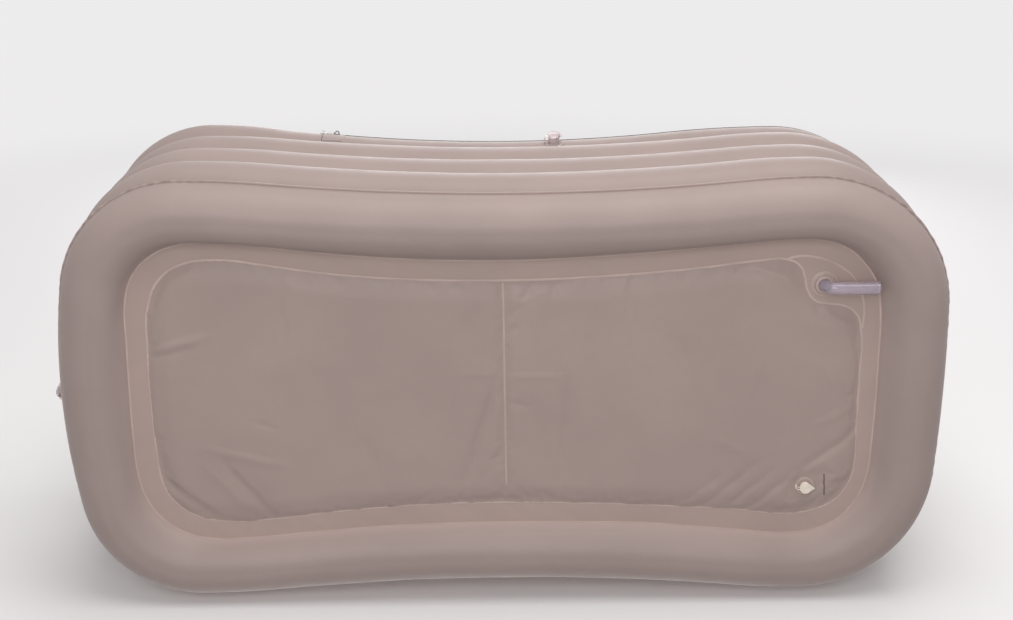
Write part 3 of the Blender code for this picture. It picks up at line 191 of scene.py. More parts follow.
# The film's unevenness: how deep, how far it spreads and how large, in metres
PUCKER_DEPTH, PUCKER_SPREAD, PUCKER_SIZE = 0.0011, 0.016, 0.012
ROLL_DEPTH, ROLL_SIZE = 0.0007, 0.11
PULL_DEPTH, PULL_SPREAD, PULL_SIZE = 0.0006, 0.014, 0.02
# The weld on the ring's inner side: how pale, which is partly the pressed film's own paleness and partly
# painted light that lifts the shaded crevice beside the floor sheet, how wide in radians, and where it lies
# inside the plan's line
RING_WELD_PALE_AND_PAINTED_LIFT, RING_WELD_SPREAD, RING_DRAWN_SPREAD, RING_WELD_INWARD = 0.62, 0.34, 0.55, 0.1183
FLAT_EDGE = 0.0005


def end_arcs(waist_radius, half_length, hump, waist, corner_radius, end_bulge):
    """One end of a plan as arcs (centre x, centre y, turn), from the waist at -Y round to +Y."""
    hump_x = half_length - corner_radius - end_bulge
    rock = 2 * math.atan2(hump - waist, hump_x)
    hump_radius = hump_x / math.sin(rock) - waist_radius
    corner_y = hump - corner_radius
    lean = 2 * math.atan2(end_bulge, corner_y)
    end_radius = corner_radius + corner_y / math.sin(lean)
    out = [
        (0.0, -(waist + waist_radius), -rock),
        (hump_x, -(hump - hump_radius), rock),
        (hump_x, -corner_y, math.radians(90) - lean),
    ]
    return out + [(half_length - end_radius, 0.0, 2 * lean)] + [(x, -y, turn) for x, y, turn in reversed(out)]


def waist_arc_radius(share, *ends):
    """The radius of the arcs that draw the waist in, as a share of the room that both ends leave."""
    reaches = []
    for half_length, hump, waist, corner_radius, end_bulge in ends:
        hump_x = half_length - corner_radius - end_bulge
        reaches.append(hump_x / math.sin(2 * math.atan2(hump - waist, hump_x)))
    return share * min(reaches)


def whole_plan(share, foot, head):
    """The arcs of a whole ring, with its waist's arc radius."""
    radius = waist_arc_radius(share, foot, head)
    return end_arcs(radius, *foot) + [(-x, -y, turn) for x, y, turn in end_arcs(radius, *head)], radius


def sweep(section, closed_section, waist, arcs, step=STATION_STEP, start_turn=0.0):
    """Spin a section (inward, height) round a chain of arcs, from the middle of the waist at -Y."""
    whole = bmesh.new()
    whole.verts.layers.int.new("row")
    stage_mesh = bpy.data.meshes.new("swept")
    moved = Matrix.Identity(4)
    if start_turn:
        centre = Matrix.Translation((arcs[0][0], arcs[0][1], 0.0))
        moved = centre @ Matrix.Rotation(start_turn, 4, "Z") @ centre.inverted()
    for x, y, turn in arcs:
        bm = bmesh.new()
        row = bm.verts.layers.int.new("row")
        points = [bm.verts.new(moved @ Vector((0.0, inward - waist, height))) for inward, height in section]
        for index, point in enumerate(points):
            point[row] = index
        edges = [bm.edges.new(pair) for pair in zip(points, points[1:])]
        if closed_section:
            edges.append(bm.edges.new((points[-1], points[0])))
        reach = math.hypot(points[0].co.x - x, points[0].co.y - y)
        steps = max(1, round(abs(turn) * reach / step))
        bmesh.ops.spin(
            bm, geom=points + edges, cent=(x, y, 0.0), axis=(0.0, 0.0, 1.0), angle=turn, steps=steps
        )
        bm.to_mesh(stage_mesh)
        bm.free()
        whole.from_mesh(stage_mesh)
        centre = Matrix.Translation((x, y, 0.0))
        moved = centre @ Matrix.Rotation(turn, 4, "Z") @ centre.inverted() @ moved
    bpy.data.meshes.remove(stage_mesh)
    bmesh.ops.remove_doubles(whole, verts=whole.verts, dist=JOIN_GAP)
    return whole


class Plan:
    """A ring's outer line, and where any point lies along it and inside it."""

    def __init__(self, waist, arcs):
        self.arcs = []
        x, y, along = 0.0, -waist, 0.0
        for cx, cy, turn in arcs:
            radius = math.hypot(x - cx, y - cy)
            start = math.atan2(y - cy, x - cx)
            self.arcs.append((cx, cy, turn, radius, start, along))
            along += abs(turn) * radius
            x, y = cx + radius * math.cos(start + turn), cy + radius * math.sin(start + turn)
        self.length = along

    def locate(self, points):
        """For points (n, 3): their distance along the line, inward from it, and share of a corner."""
        x, y = points[:, 0], points[:, 1]
        along = np.zeros(len(points))
        inward = np.full(len(points), FAR_AWAY)
        for cx, cy, turn, radius, start, begin in self.arcs:
            swing = (np.arctan2(y - cy, x - cx) - start + math.pi) % (2 * math.pi) - math.pi
            share = swing / turn
            reach = np.hypot(x - cx, y - cy)
            depth = (radius - reach) * (1 if turn > 0 else -1)
            here = (share > -ARC_SLACK) & (share < 1 + ARC_SLACK) & (np.abs(depth) < np.abs(inward))
            along[here] = begin + share[here] * abs(turn) * radius
            inward[here] = depth[here]
        corner = np.zeros(len(points))
        for cx, cy, turn, radius, start, begin in self.arcs:
            if radius < CORNER_RADIUS_LIMIT:
                middle, half = begin + turn * radius / 2, turn * radius / 2
                away = np.abs((along - middle + self.length / 2) % self.length - self.length / 2) - half
                corner = np.maximum(corner, np.clip(1 - away / CORNER_FADE, 0, 1))
        return along, inward, corner * corner * (3 - 2 * corner)

    def point(self, along, inward=0.0):
        """The point at a distance along the line, moved inward, and the way the line runs there."""
        along %= self.length
        for cx, cy, turn, radius, start, begin in self.arcs:
            if along <= begin + abs(turn) * radius + 1e-9:
                sign = 1 if turn > 0 else -1
                angle = start + sign * (along - begin) / radius
                reach = radius - sign * inward
                way = Vector((-math.sin(angle), math.cos(angle), 0.0)) * sign
                return Vector((cx + reach * math.cos(angle), cy + reach * math.sin(angle), 0.0)), way


BASE_FOOT = (HALF_LENGTH, HUMP_HALF_WIDTH, WAIST_HALF_WIDTH, FOOT_CORNER_RADIUS, FOOT_END_BULGE)
BASE_HEAD = (HALF_LENGTH, HUMP_HALF_WIDTH, WAIST_HALF_WIDTH, HEAD_CORNER_RADIUS, HEAD_END_BULGE)
base_arcs, _ = whole_plan(WAIST_ARC_SHARE, BASE_FOOT, BASE_HEAD)
base_plan = Plan(WAIST_HALF_WIDTH, base_arcs)


def swell(x, y, z, size):
    """A smooth random height from -1 to 1, whose swells are about this size across."""
    return noise.noise(Vector((x, y, z)) / size)


def satin_film(name, colour, roughness=0.47):
    """Vinyl film: a fine even grain, faint clouds in its colour and gloss, paler pressed welds, and painted
    highlights.
    """
    film = bpy.data.materials.new(name)
    film.use_nodes = True
    nodes, links = film.node_tree.nodes, film.node_tree.links
    shader = nodes["Principled BSDF"]
    place = nodes.new("ShaderNodeTexCoord")
    clouds = nodes.new("ShaderNodeTexNoise")
    clouds.inputs["Scale"].default_value = 5.5
    clouds.inputs["Detail"].default_value = 5.0
    tone = nodes.new("ShaderNodeValToRGB")
    tone.color_ramp.elements[0].position = 0.30
    tone.color_ramp.elements[0].color = (*[c * 0.955 for c in colour], 1.0)
    tone.color_ramp.elements[1].position = 0.72
    tone.color_ramp.elements[1].color = (*[c * 1.045 for c in colour], 1.0)
    # This attribute pales the film at pressed welds, and also carries painted light: a highlight on the fin's
    # edge, welds paler towards the lit -Y side, and a lift of the shaded crevice by the base ring's weld
    pressed_and_painted_light = nodes.new("ShaderNodeAttribute")
    pressed_and_painted_light.attribute_name = "pressed_and_painted_light"
    weld_and_painted_light_mix = nodes.new("ShaderNodeMix")
    weld_and_painted_light_mix.data_type = "RGBA"
    weld_and_painted_light_mix.inputs["B"].default_value = (*[min(1.0, c * 1.45 + 0.03) for c in colour], 1.0)
    scuffs = nodes.new("ShaderNodeTexNoise")
    scuffs.inputs["Scale"].default_value = 38.0
    scuffs.inputs["Detail"].default_value = 4.0
    gloss = nodes.new("ShaderNodeMapRange")
    gloss.inputs["From Min"].default_value = 0.3
    gloss.inputs["From Max"].default_value = 0.7
    gloss.inputs["To Min"].default_value = roughness - 0.035
    gloss.inputs["To Max"].default_value = roughness + 0.045
    pores = nodes.new("ShaderNodeTexVoronoi")
    pores.inputs["Scale"].default_value = 620.0
    fine = nodes.new("ShaderNodeBump")
    fine.inputs["Strength"].default_value = 0.10
    fine.inputs["Distance"].default_value = 0.0006
    wavy = nodes.new("ShaderNodeTexNoise")
    wavy.inputs["Scale"].default_value = 26.0
    wavy.inputs["Detail"].default_value = 2.0
    broad = nodes.new("ShaderNodeBump")
    broad.inputs["Strength"].default_value = 0.16
    broad.inputs["Distance"].default_value = 0.004
    for texture in (clouds, scuffs, pores, wavy):
        links.new(place.outputs["Object"], texture.inputs["Vector"])
    links.new(clouds.outputs["Fac"], tone.inputs["Fac"])
    links.new(pressed_and_painted_light.outputs["Fac"], weld_and_painted_light_mix.inputs["Factor"])
    links.new(tone.outputs["Color"], weld_and_painted_light_mix.inputs["A"])
    links.new(weld_and_painted_light_mix.outputs["Result"], shader.inputs["Base Color"])
    links.new(scuffs.outputs["Fac"], gloss.inputs["Value"])
    links.new(gloss.outputs["Result"], shader.inputs["Roughness"])
    links.new(wavy.outputs["Fac"], broad.inputs["Height"])
    links.new(pores.outputs["Distance"], fine.inputs["Height"])
    links.new(broad.outputs["Normal"], fine.inputs["Normal"])
    links.new(fine.outputs["Normal"], shader.inputs["Normal"])
    shader.inputs["IOR"].default_value = 1.46
    shader.inputs["Specular IOR Level"].default_value = 0.28
    return film


def finish_piece(name, bm, material, body, nodes=(), sharp=38, pressed_and_painted_light=None):
    """Make a shown piece of a mesh: smooth shading, its material and its body, and hide the CAD parts that it
    replaces.
    """
    mesh = bpy.data.meshes.new(name)
    bm.to_mesh(mesh)
    bm.free()
    mesh.shade_smooth()
    mesh.set_sharp_from_angle(angle=math.radians(sharp))
    if pressed_and_painted_light is not None:
        mesh.attributes.new("pressed_and_painted_light", "FLOAT", "POINT").data.foreach_set("value", pressed_and_painted_light.astype(np.float32))
    mesh.materials.append(material)
    piece = bpy.data.objects.new(name, mesh)
    bpy.context.scene.collection.objects.link(piece)
    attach(piece, body)
    if nodes:
        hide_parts(*nodes)
    return piece


def coordinates(bm):
    """The mesh's points as rows of x, y and z."""
    return np.array([vert.co[:] for vert in bm.verts])


def put_back(bm, points):
    """Move the mesh's points to these rows."""
    for vert, point in zip(bm.verts, points):
        vert.co = point


tub_film = satin_film("tub_film", TAUPE)

# Points of the weld between this ring and the floor sheet, seen from above, counted along the -Y side first
BASE_WELD = [
    (-0.007, -0.255), (0.168, -0.2615), (0.343, -0.276), (0.448, -0.2865), (0.540, -0.2900), (0.601, -0.274),
    (0.638, -0.242), (0.661, -0.205), (0.670, -0.160), (0.6735, -0.075), (0.6745, 0.000), (0.6735, 0.085),
    (0.668, 0.171), (0.649, 0.220), (0.616, 0.257), (0.574, 0.276), (0.520, 0.282), (0.432, 0.275),
    (0.270, 0.260), (0.130, 0.256), (-0.009, 0.255), (-0.200, 0.260), (-0.340, 0.270), (-0.475, 0.282),
    (-0.540, 0.283), (-0.590, 0.271), (-0.628, 0.246), (-0.658, 0.204), (-0.672, 0.150), (-0.675, 0.070),
    (-0.6745, -0.020), (-0.6725, -0.100), (-0.668, -0.187), (-0.652, -0.232), (-0.622, -0.264),
    (-0.580, -0.284), (-0.530, -0.2915), (-0.459, -0.287), (-0.321, -0.271), (-0.182, -0.2595),
]


def smooth_loop(corners, closed, pieces, height=0.0):
    """Points of a smooth line through the corner points, from a drawn curve."""
    drawn = bpy.data.curves.new("outline", "CURVE")
    drawn.dimensions = "3D"
    drawn.resolution_u = pieces
    spline = drawn.splines.new("BEZIER")
    spline.bezier_points.add(len(corners) - 1)
    spline.use_cyclic_u = closed
    for knot, corner_point in zip(spline.bezier_points, corners):
        knot.co = (corner_point[0], corner_point[1], corner_point[2] if len(corner_point) > 2 else height)
        knot.handle_left_type = knot.handle_right_type = "AUTO"
    holder = bpy.data.objects.new("outline", drawn)
    bpy.context.scene.collection.objects.link(holder)
    bpy.context.view_layer.update()
    mesh = bpy.data.meshes.new_from_object(holder.evaluated_get(bpy.context.evaluated_depsgraph_get()))
    line = [vert.co.copy() for vert in mesh.vertices]
    bpy.data.objects.remove(holder, do_unlink=True)
    return line


FLOOR_WELD_HEIGHT, FLOOR_SHEET_THICKNESS = 0.04499, 0.0010
SHEET_UNDERSIDE = FLOOR_WELD_HEIGHT - FLOOR_SHEET_THICKNESS
OUTLINE_PIECES = 12
base_weld_line = smooth_loop(BASE_WELD, True, OUTLINE_PIECES, SHEET_UNDERSIDE)
weld_along, weld_inward, _ = base_plan.locate(np.array([point[:] for point in base_weld_line]))
by_along = np.argsort(weld_along)
weld_along, weld_inward = weld_along[by_along], weld_inward[by_along]
WELD_TURN = math.atan2(SHEET_UNDERSIDE - BASE_CENTRE_Z, -BASE_RING_RADIUS)

base_section = []
for step in range(RING_SIDES):
    turn = math.radians(360 / RING_SIDES * (step - 0.5))
    height = BASE_CENTRE_Z + BASE_RING_RADIUS * math.sin(turn)
    inward = BASE_RING_RADIUS - BASE_RING_RADIUS * math.cos(turn)
    base_section.append((inward, min(max(height, 0.0), BASE_TOP)))
bm = sweep(base_section, True, WAIST_HALF_WIDTH, base_arcs)
points = coordinates(bm)
along, inward, corner = base_plan.locate(points)
around = np.arctan2(points[:, 2] - BASE_CENTRE_Z, BASE_RING_RADIUS - inward)
weld_place = np.interp(along, weld_along, weld_inward, period=base_plan.length)
pressed_and_painted_light = np.zeros(len(points))
for index, point in enumerate(points):
    x, y, z = point
    near_fin = math.exp(-((abs(around[index]) * BASE_RING_RADIUS / PUCKER_SPREAD) ** 2))
    pucker = PUCKER_DEPTH * corner[index] * near_fin * (0.4 + swell(along[index], 0.0, 3.0, PUCKER_SIZE))
    roll = ROLL_DEPTH * swell(x, y, z, ROLL_SIZE)
    from_inside = around[index] * BASE_RING_RADIUS - math.pi * BASE_RING_RADIUS
    near_weld = math.exp(-((from_inside / PULL_SPREAD) ** 2))
    pull = PULL_DEPTH * near_weld * swell(along[index], 7.0, 0.0, PULL_SIZE)
    depth = -(pucker + roll + pull)
    from_weld = (around[index] - WELD_TURN + math.pi) % math.tau - math.pi
    # Paler towards the weld: partly the pressed film, partly painted light lifting the shade in the crevice
    # beside the floor sheet
    pressed_and_painted_light[index] = RING_WELD_PALE_AND_PAINTED_LIFT * math.exp(-((from_weld / RING_WELD_SPREAD) ** 2))
    narrowed = (RING_WELD_INWARD - weld_place[index]) * math.exp(-((from_weld / RING_DRAWN_SPREAD) ** 2))
    _, way = base_plan.point(along[index])
    out = Vector((way.y, -way.x, 0.0))
    direction = out * math.cos(around[index]) + Vector((0.0, 0.0, math.sin(around[index])))
    if FLAT_EDGE < z < BASE_TOP - FLAT_EDGE:
        points[index] += np.array((direction * depth + out * narrowed)[:])
put_back(bm, points)
bmesh.ops.recalc_face_normals(bm, faces=bm.faces)
base_ring = finish_piece("base_air_ring", bm, tub_film, "tub", ["base_ring"], pressed_and_painted_light=pressed_and_painted_light)

# The base ring's fin: the edges of its two films, pressed flat together by the weld. It is straight
# along the sides and crinkled round the corners. Its edge is paler, partly the film's own pale cut edge
# and partly a painted highlight where the edge catches the overhead light, less of it round the corners.
SEAM_FIN_WIDTH, FIN_ROOT_DEPTH, FIN_TIP_HALF, FIN_ROOT_HALF = 0.0042, 0.0016, 0.0004, 0.0005
FIN_STEP, FIN_CUTS = 0.0028, 4
PALE_TIP_START, PALE_TIP_FADE, CORNER_TIP_FADE = 0.35, 0.5, 0.5
STRAIGHT_CRIMP, CORNER_CRIMP, CRIMP_PITCH, FIN_TUCK = 0.00012, 0.0014, 0.021, 0.0011
fin_section = [
    (-SEAM_FIN_WIDTH, FIN_TIP_HALF), (FIN_ROOT_DEPTH, FIN_ROOT_HALF),
    (FIN_ROOT_DEPTH, -FIN_ROOT_HALF), (-SEAM_FIN_WIDTH, -FIN_TIP_HALF),
]
fin_rows = []
for first, second in zip(fin_section, fin_section[1:] + fin_section[:1]):
    cuts = FIN_CUTS if first[0] != second[0] else 1
    for step in range(cuts):
        share = step / cuts
        fin_rows.append(tuple(a + (b - a) * share for a, b in zip(first, second)))
bm = sweep([(i, BASE_CENTRE_Z + h) for i, h in fin_rows], True, WAIST_HALF_WIDTH, base_arcs, FIN_STEP)
points = coordinates(bm)
along, inward, corner = base_plan.locate(points)
pale_tip_and_highlight = np.zeros(len(points))
for index in range(len(points)):
    reach = min(1.0, max(0.0, -inward[index] / SEAM_FIN_WIDTH))
    # Painted highlight: the fin's outer edge is made paler, partly its own pale cut edge, partly the light it
    # catches
    pale = min(1.0, max(0.0, reach - PALE_TIP_START) / PALE_TIP_FADE)
    pale_tip_and_highlight[index] = pale * (1.0 - CORNER_TIP_FADE * corner[index])
    crimp = STRAIGHT_CRIMP + CORNER_CRIMP * corner[index] ** 1.5
    wave = math.sin(along[index] * 2 * math.pi / CRIMP_PITCH + 2.4 * swell(along[index], 1.0, 0.0, 0.05))
    wave = 0.6 * wave + 0.9 * swell(along[index], 5.0, 0.0, 0.014)
    points[index, 2] += crimp * wave * reach
    _, way = base_plan.point(along[index])
    tuck = FIN_TUCK * corner[index] * reach * (0.5 + swell(along[index], 9.0, 0.0, 0.022))
    points[index, 0] -= way.y * tuck
    points[index, 1] += way.x * tuck
put_back(bm, points)
bmesh.ops.recalc_face_normals(bm, faces=bm.faces)
finish_piece("base_seam_fin", bm, tub_film, "tub", pressed_and_painted_light=pale_tip_and_highlight)


# Three wall air rings: one outer and one inner film, tied together at each level, so that each
# level bulges between two pressed grooves. Round the corners the grooves gather the film.
WALL_OUTSET, WALL_THICKNESS, RING_PITCH, WALL_BULGE = 0.010, 0.125, 0.108, 0.025
SECOND_RING_Z = 0.17079
HALF_RING = RING_PITCH / 2
BULGE_RADIUS = (HALF_RING**2 + WALL_BULGE**2) / (2 * WALL_BULGE)
RING_ROWS, MEETING_SHARE = 7, 0.9985
GATHER_DEPTH, GATHER_REACH, FINE_GATHER, BROAD_GATHER = 0.0012, 0.019, 0.013, 0.03
WALL_ROLL_SIZE = 0.12


def bulge_depth(rise):
    """How far a ring's face falls back from its crest, at a height above or below its middle."""
    return BULGE_RADIUS - math.sqrt(BULGE_RADIUS**2 - rise**2)


def gather(bm, plan, groove_heights):
    """Small upright gathers on a ring's outer and inner faces, deepest at the grooves and corners."""
    points = coordinates(bm)
    along, inward, corner = plan.locate(points)
    for index, point in enumerate(points):
        near = sum(math.exp(-(((point[2] - height) / GATHER_REACH) ** 2)) for height in groove_heights)
        fold = swell(along[index], 0.4, 2.0 * point[2], FINE_GATHER)
        fold = fold + 0.6 * swell(along[index], 3.3, point[2], BROAD_GATHER)
        roll = ROLL_DEPTH * swell(*point, WALL_ROLL_SIZE)
        depth = GATHER_DEPTH * near * (0.16 + corner[index]) * fold + roll
        _, way = plan.point(along[index])
        side = 1.0 if inward[index] < WALL_THICKNESS / 2 - WALL_OUTSET else -1.0
        points[index, 0] -= way.y * depth * side
        points[index, 1] += way.x * depth * side
    put_back(bm, points)


for number in (2, 3, 4):
    middle = SECOND_RING_Z + (number - 2) * RING_PITCH
    quarter_turns = [math.radians(90) * step / RING_ROWS for step in range(-RING_ROWS, RING_ROWS + 1)]
    rises = [HALF_RING * math.sin(turn) * MEETING_SHARE for turn in quarter_turns]
    outer = [(bulge_depth(rise) - WALL_OUTSET, middle + rise) for rise in rises]
    inner = [(WALL_THICKNESS - bulge_depth(rise) - WALL_OUTSET, middle + rise) for rise in reversed(rises)]
    bm = sweep(outer + inner, True, WAIST_HALF_WIDTH, base_arcs)
    gather(bm, base_plan, (middle - HALF_RING, middle + HALF_RING))
    bmesh.ops.recalc_face_normals(bm, faces=bm.faces)
    name, node = "wall_air_ring_%d" % number, "wall_ring_%d" % number
    ring = finish_piece(name, bm, tub_film, "tub", [node])


# Rim air ring: the top ring, of the same film, welded to the ring below along a groove. It is round
# on top, and the zip's skirt draws it in along the sides and foot.
RIM_Z, RIM_CROWN_HEIGHT = 0.49479, 0.0625
RIM_WAIST_HALF_WIDTH = 0.3655
RIM_FOOT = (0.7965, 0.3925, RIM_WAIST_HALF_WIDTH, FOOT_CORNER_RADIUS, FOOT_END_BULGE)
RIM_HEAD = (0.806, 0.405, RIM_WAIST_HALF_WIDTH, HEAD_CORNER_RADIUS, HEAD_END_BULGE)
RIM_WAIST_ARC_SHARE = 0.81
RIM_CROWN_STEPS = 24
rim_arcs, RIM_WAIST_RADIUS = whole_plan(RIM_WAIST_ARC_SHARE, RIM_FOOT, RIM_HEAD)
rim_plan = Plan(RIM_WAIST_HALF_WIDTH, rim_arcs)
RIM_WAIST_Y = -(RIM_WAIST_HALF_WIDTH + RIM_WAIST_RADIUS)

rises = [-HALF_RING * MEETING_SHARE * (1 - step / RING_ROWS) for step in range(RING_ROWS)]
rim_section = [(bulge_depth(rise), RIM_Z + rise) for rise in rises]
for step in range(RIM_CROWN_STEPS + 1):
    turn = math.radians(180) * step / RIM_CROWN_STEPS
    half = WALL_THICKNESS / 2
    rim_section.append((half - half * math.cos(turn), RIM_Z + RIM_CROWN_HEIGHT * math.sin(turn)))
rim_section += [(WALL_THICKNESS - i, h) for i, h in reversed(rim_section[:RING_ROWS])]
bm = sweep(rim_section, True, RIM_WAIST_HALF_WIDTH, rim_arcs)
gather(bm, rim_plan, (RIM_Z - HALF_RING,))
bmesh.ops.recalc_face_normals(bm, faces=bm.faces)
rim_ring = finish_piece("rim_air_ring", bm, tub_film, "tub", ["rim_ring"])


# Floor sheet: one layer of film across the tub's bottom, welded to the base ring's inner side. It
# shows as a flat band round the pad, with slack ripples, and as the flat corner round the drain.

# Corner points of the pad's outline, seen from above, from the middle of the drain's side round by the foot
PAD_OUTLINE = [
    (-0.007, -0.217), (0.169, -0.223), (0.345, -0.237), (0.450, -0.250), (0.496, -0.252), (0.521, -0.240),
    (0.531, -0.218), (0.537, -0.194), (0.552, -0.175), (0.576, -0.169), (0.604, -0.165), (0.626, -0.151),
    (0.637, -0.122), (0.641, -0.031), (0.642, 0.070), (0.643, 0.140), (0.635, 0.183), (0.609, 0.217),
    (0.568, 0.236), (0.522, 0.242), (0.433, 0.233), (0.269, 0.222), (0.130, 0.216), (-0.009, 0.214),
    (-0.150, 0.217), (-0.300, 0.228), (-0.420, 0.242), (-0.500, 0.247), (-0.566, 0.236), (-0.606, 0.208),
    (-0.627, 0.168), (-0.634, 0.105), (-0.636, 0.027), (-0.635, -0.091), (-0.629, -0.170), (-0.606, -0.222),
    (-0.566, -0.250), (-0.500, -0.258), (-0.420, -0.248), (-0.322, -0.233), (-0.183, -0.221),
]
DRAIN_X, DRAIN_Y, DRAIN_HOLE_RADIUS = 0.566, -0.206, 0.0125
SHEET_COLUMNS, SHEET_ROWS, SHEET_HALF_LENGTH, SHEET_HALF_WIDTH = 210, 96, 0.70, 0.31
WELD_LAP, PAD_LAP, PAD_LAP_CLIMB = 0.008, 0.012, 0.30
SLACK_DEPTH, SLACK_SIZE, FLAT_ROUND_DRAIN = 0.0012, 0.030, 0.05
sheet_film = satin_film("sheet_film", (0.389, 0.297, 0.268), roughness=0.42)

outline = smooth_loop(PAD_OUTLINE, True, OUTLINE_PIECES)
corners = np.array([point[:2] for point in outline])


def inside_outline(points):
    """Whether each point is inside the pad's outline, seen from above."""
    within = np.zeros(len(points), dtype=bool)
    for (x0, y0), (x1, y1) in zip(corners, np.roll(corners, -1, axis=0)):
        if y0 != y1:
            crossing = (y0 > points[:, 1]) != (y1 > points[:, 1])
            within ^= crossing & (points[:, 0] < (x1 - x0) * (points[:, 1] - y0) / (y1 - y0) + x0)
    return within


def finished_mesh(piece):
    """The mesh of a curve or piece with its modifiers applied."""
    return bpy.data.meshes.new_from_object(piece.evaluated_get(bpy.context.evaluated_depsgraph_get()))


rim_tree = KDTree(len(outline) * 4)
for index, (here, there) in enumerate(zip(outline, outline[1:] + outline[:1])):
    for quarter in range(4):
        rim_tree.insert(here.lerp(there, quarter / 4), index * 4 + quarter)
rim_tree.balance()

bm = bmesh.new()
bmesh.ops.create_grid(
    bm, x_segments=SHEET_COLUMNS, y_segments=SHEET_ROWS, size=1.0,
    matrix=Matrix.Diagonal((SHEET_HALF_LENGTH, SHEET_HALF_WIDTH, 1.0, 1.0)),
)
points = coordinates(bm)
along, inward, corner = base_plan.locate(points)
weld_place = np.interp(along, weld_along, weld_inward, period=base_plan.length)
within = inside_outline(points)
spare = [
    vert for vert, depth, weld_depth, under_pad in zip(bm.verts, inward, weld_place, within)
    if depth < weld_depth - WELD_LAP or (under_pad and rim_tree.find(vert.co)[2] > PAD_LAP)
]
bmesh.ops.delete(bm, geom=spare, context="VERTS")
points = coordinates(bm)
along, inward, corner = base_plan.locate(points)
weld_place = np.interp(along, weld_along, weld_inward, period=base_plan.length)
within = inside_outline(points)
for index, (x, y, _) in enumerate(points):
    slack = swell(along[index] - 0.7 * inward[index], inward[index] * 0.5, 0.0, SLACK_SIZE)
    away = min(1.0, math.hypot(x - DRAIN_X, y - DRAIN_Y) / FLAT_ROUND_DRAIN)
    from_pad = 0.0 if within[index] else rim_tree.find(Vector((x, y, 0.0)))[2]
    middle = min(1.0, from_pad / 0.016) * min(1.0, max(0.0, (inward[index] - weld_place[index]) / 0.012))
    tucked = PAD_LAP_CLIMB * rim_tree.find(Vector((x, y, 0.0)))[2] if within[index] else 0.0
    points[index, 2] = FLOOR_WELD_HEIGHT + SLACK_DEPTH * slack * middle * away**4 + tucked
put_back(bm, points)
bmesh.ops.recalc_face_normals(bm, faces=bm.faces)
bmesh.ops.solidify(bm, geom=bm.faces, thickness=FLOOR_SHEET_THICKNESS)
floor_sheet = finish_piece("floor_sheet_film", bm, sheet_film, "tub", ["floor_sheet"])

# The drain hole is punched through the sheet
bm = bmesh.new()
bmesh.ops.create_cone(
    bm, cap_ends=True, segments=48, radius1=DRAIN_HOLE_RADIUS, radius2=DRAIN_HOLE_RADIUS, depth=0.02,
    matrix=Matrix.Translation((DRAIN_X, DRAIN_Y, FLOOR_WELD_HEIGHT)),
)
mesh = bpy.data.meshes.new("punch")
bm.to_mesh(mesh)
bm.free()
punch = bpy.data.objects.new("punch", mesh)
bpy.context.scene.collection.objects.link(punch)
hole = floor_sheet.modifiers.new("hole", "BOOLEAN")
hole.object, hole.solver = punch, "EXACT"
bpy.context.view_layer.update()
holed = finished_mesh(floor_sheet)
floor_sheet.modifiers.remove(hole)
floor_sheet.data = holed
bpy.data.objects.remove(punch, do_unlink=True)


# Inflated floor pad: two films welded along an outline that turns in round the drain, with one
# straight tie weld across the middle. The slack film crinkles beside the welds.
PAD_TOP_RISE, PAD_BELLY_DROP, PAD_SHOULDER_WIDTH = 0.040, 0.0065, 0.050
PAD_CELL = 0.0052
TOP_EDGE_HALF, BELLY_EDGE_HALF, BELLY_SHOULDER_WIDTH = 0.0009, 0.0013, 0.042
TOP_TIE_DEPTH, BELLY_TIE_DEPTH, TOP_TIE_SPREAD, BELLY_TIE_SPREAD = 0.016, 0.0014, 0.016, 0.011
BELLY_ROLL_DEPTH, BELLY_ROLL_SIZE = 0.0006, 0.045
HELD_BY_EDGE, HELD_BY_TIE, HELD_BY_VALVE = 0.004, 0.0035, 0.027
floor_film = satin_film("floor_film", (0.346, 0.266, 0.243), roughness=0.42)
TIE_X, TIE_START_Y, TIE_END_Y = 0.0, -0.2123, 0.1773
FLOOR_VALVE_X, FLOOR_VALVE_Y = 0.5534, 0.1831
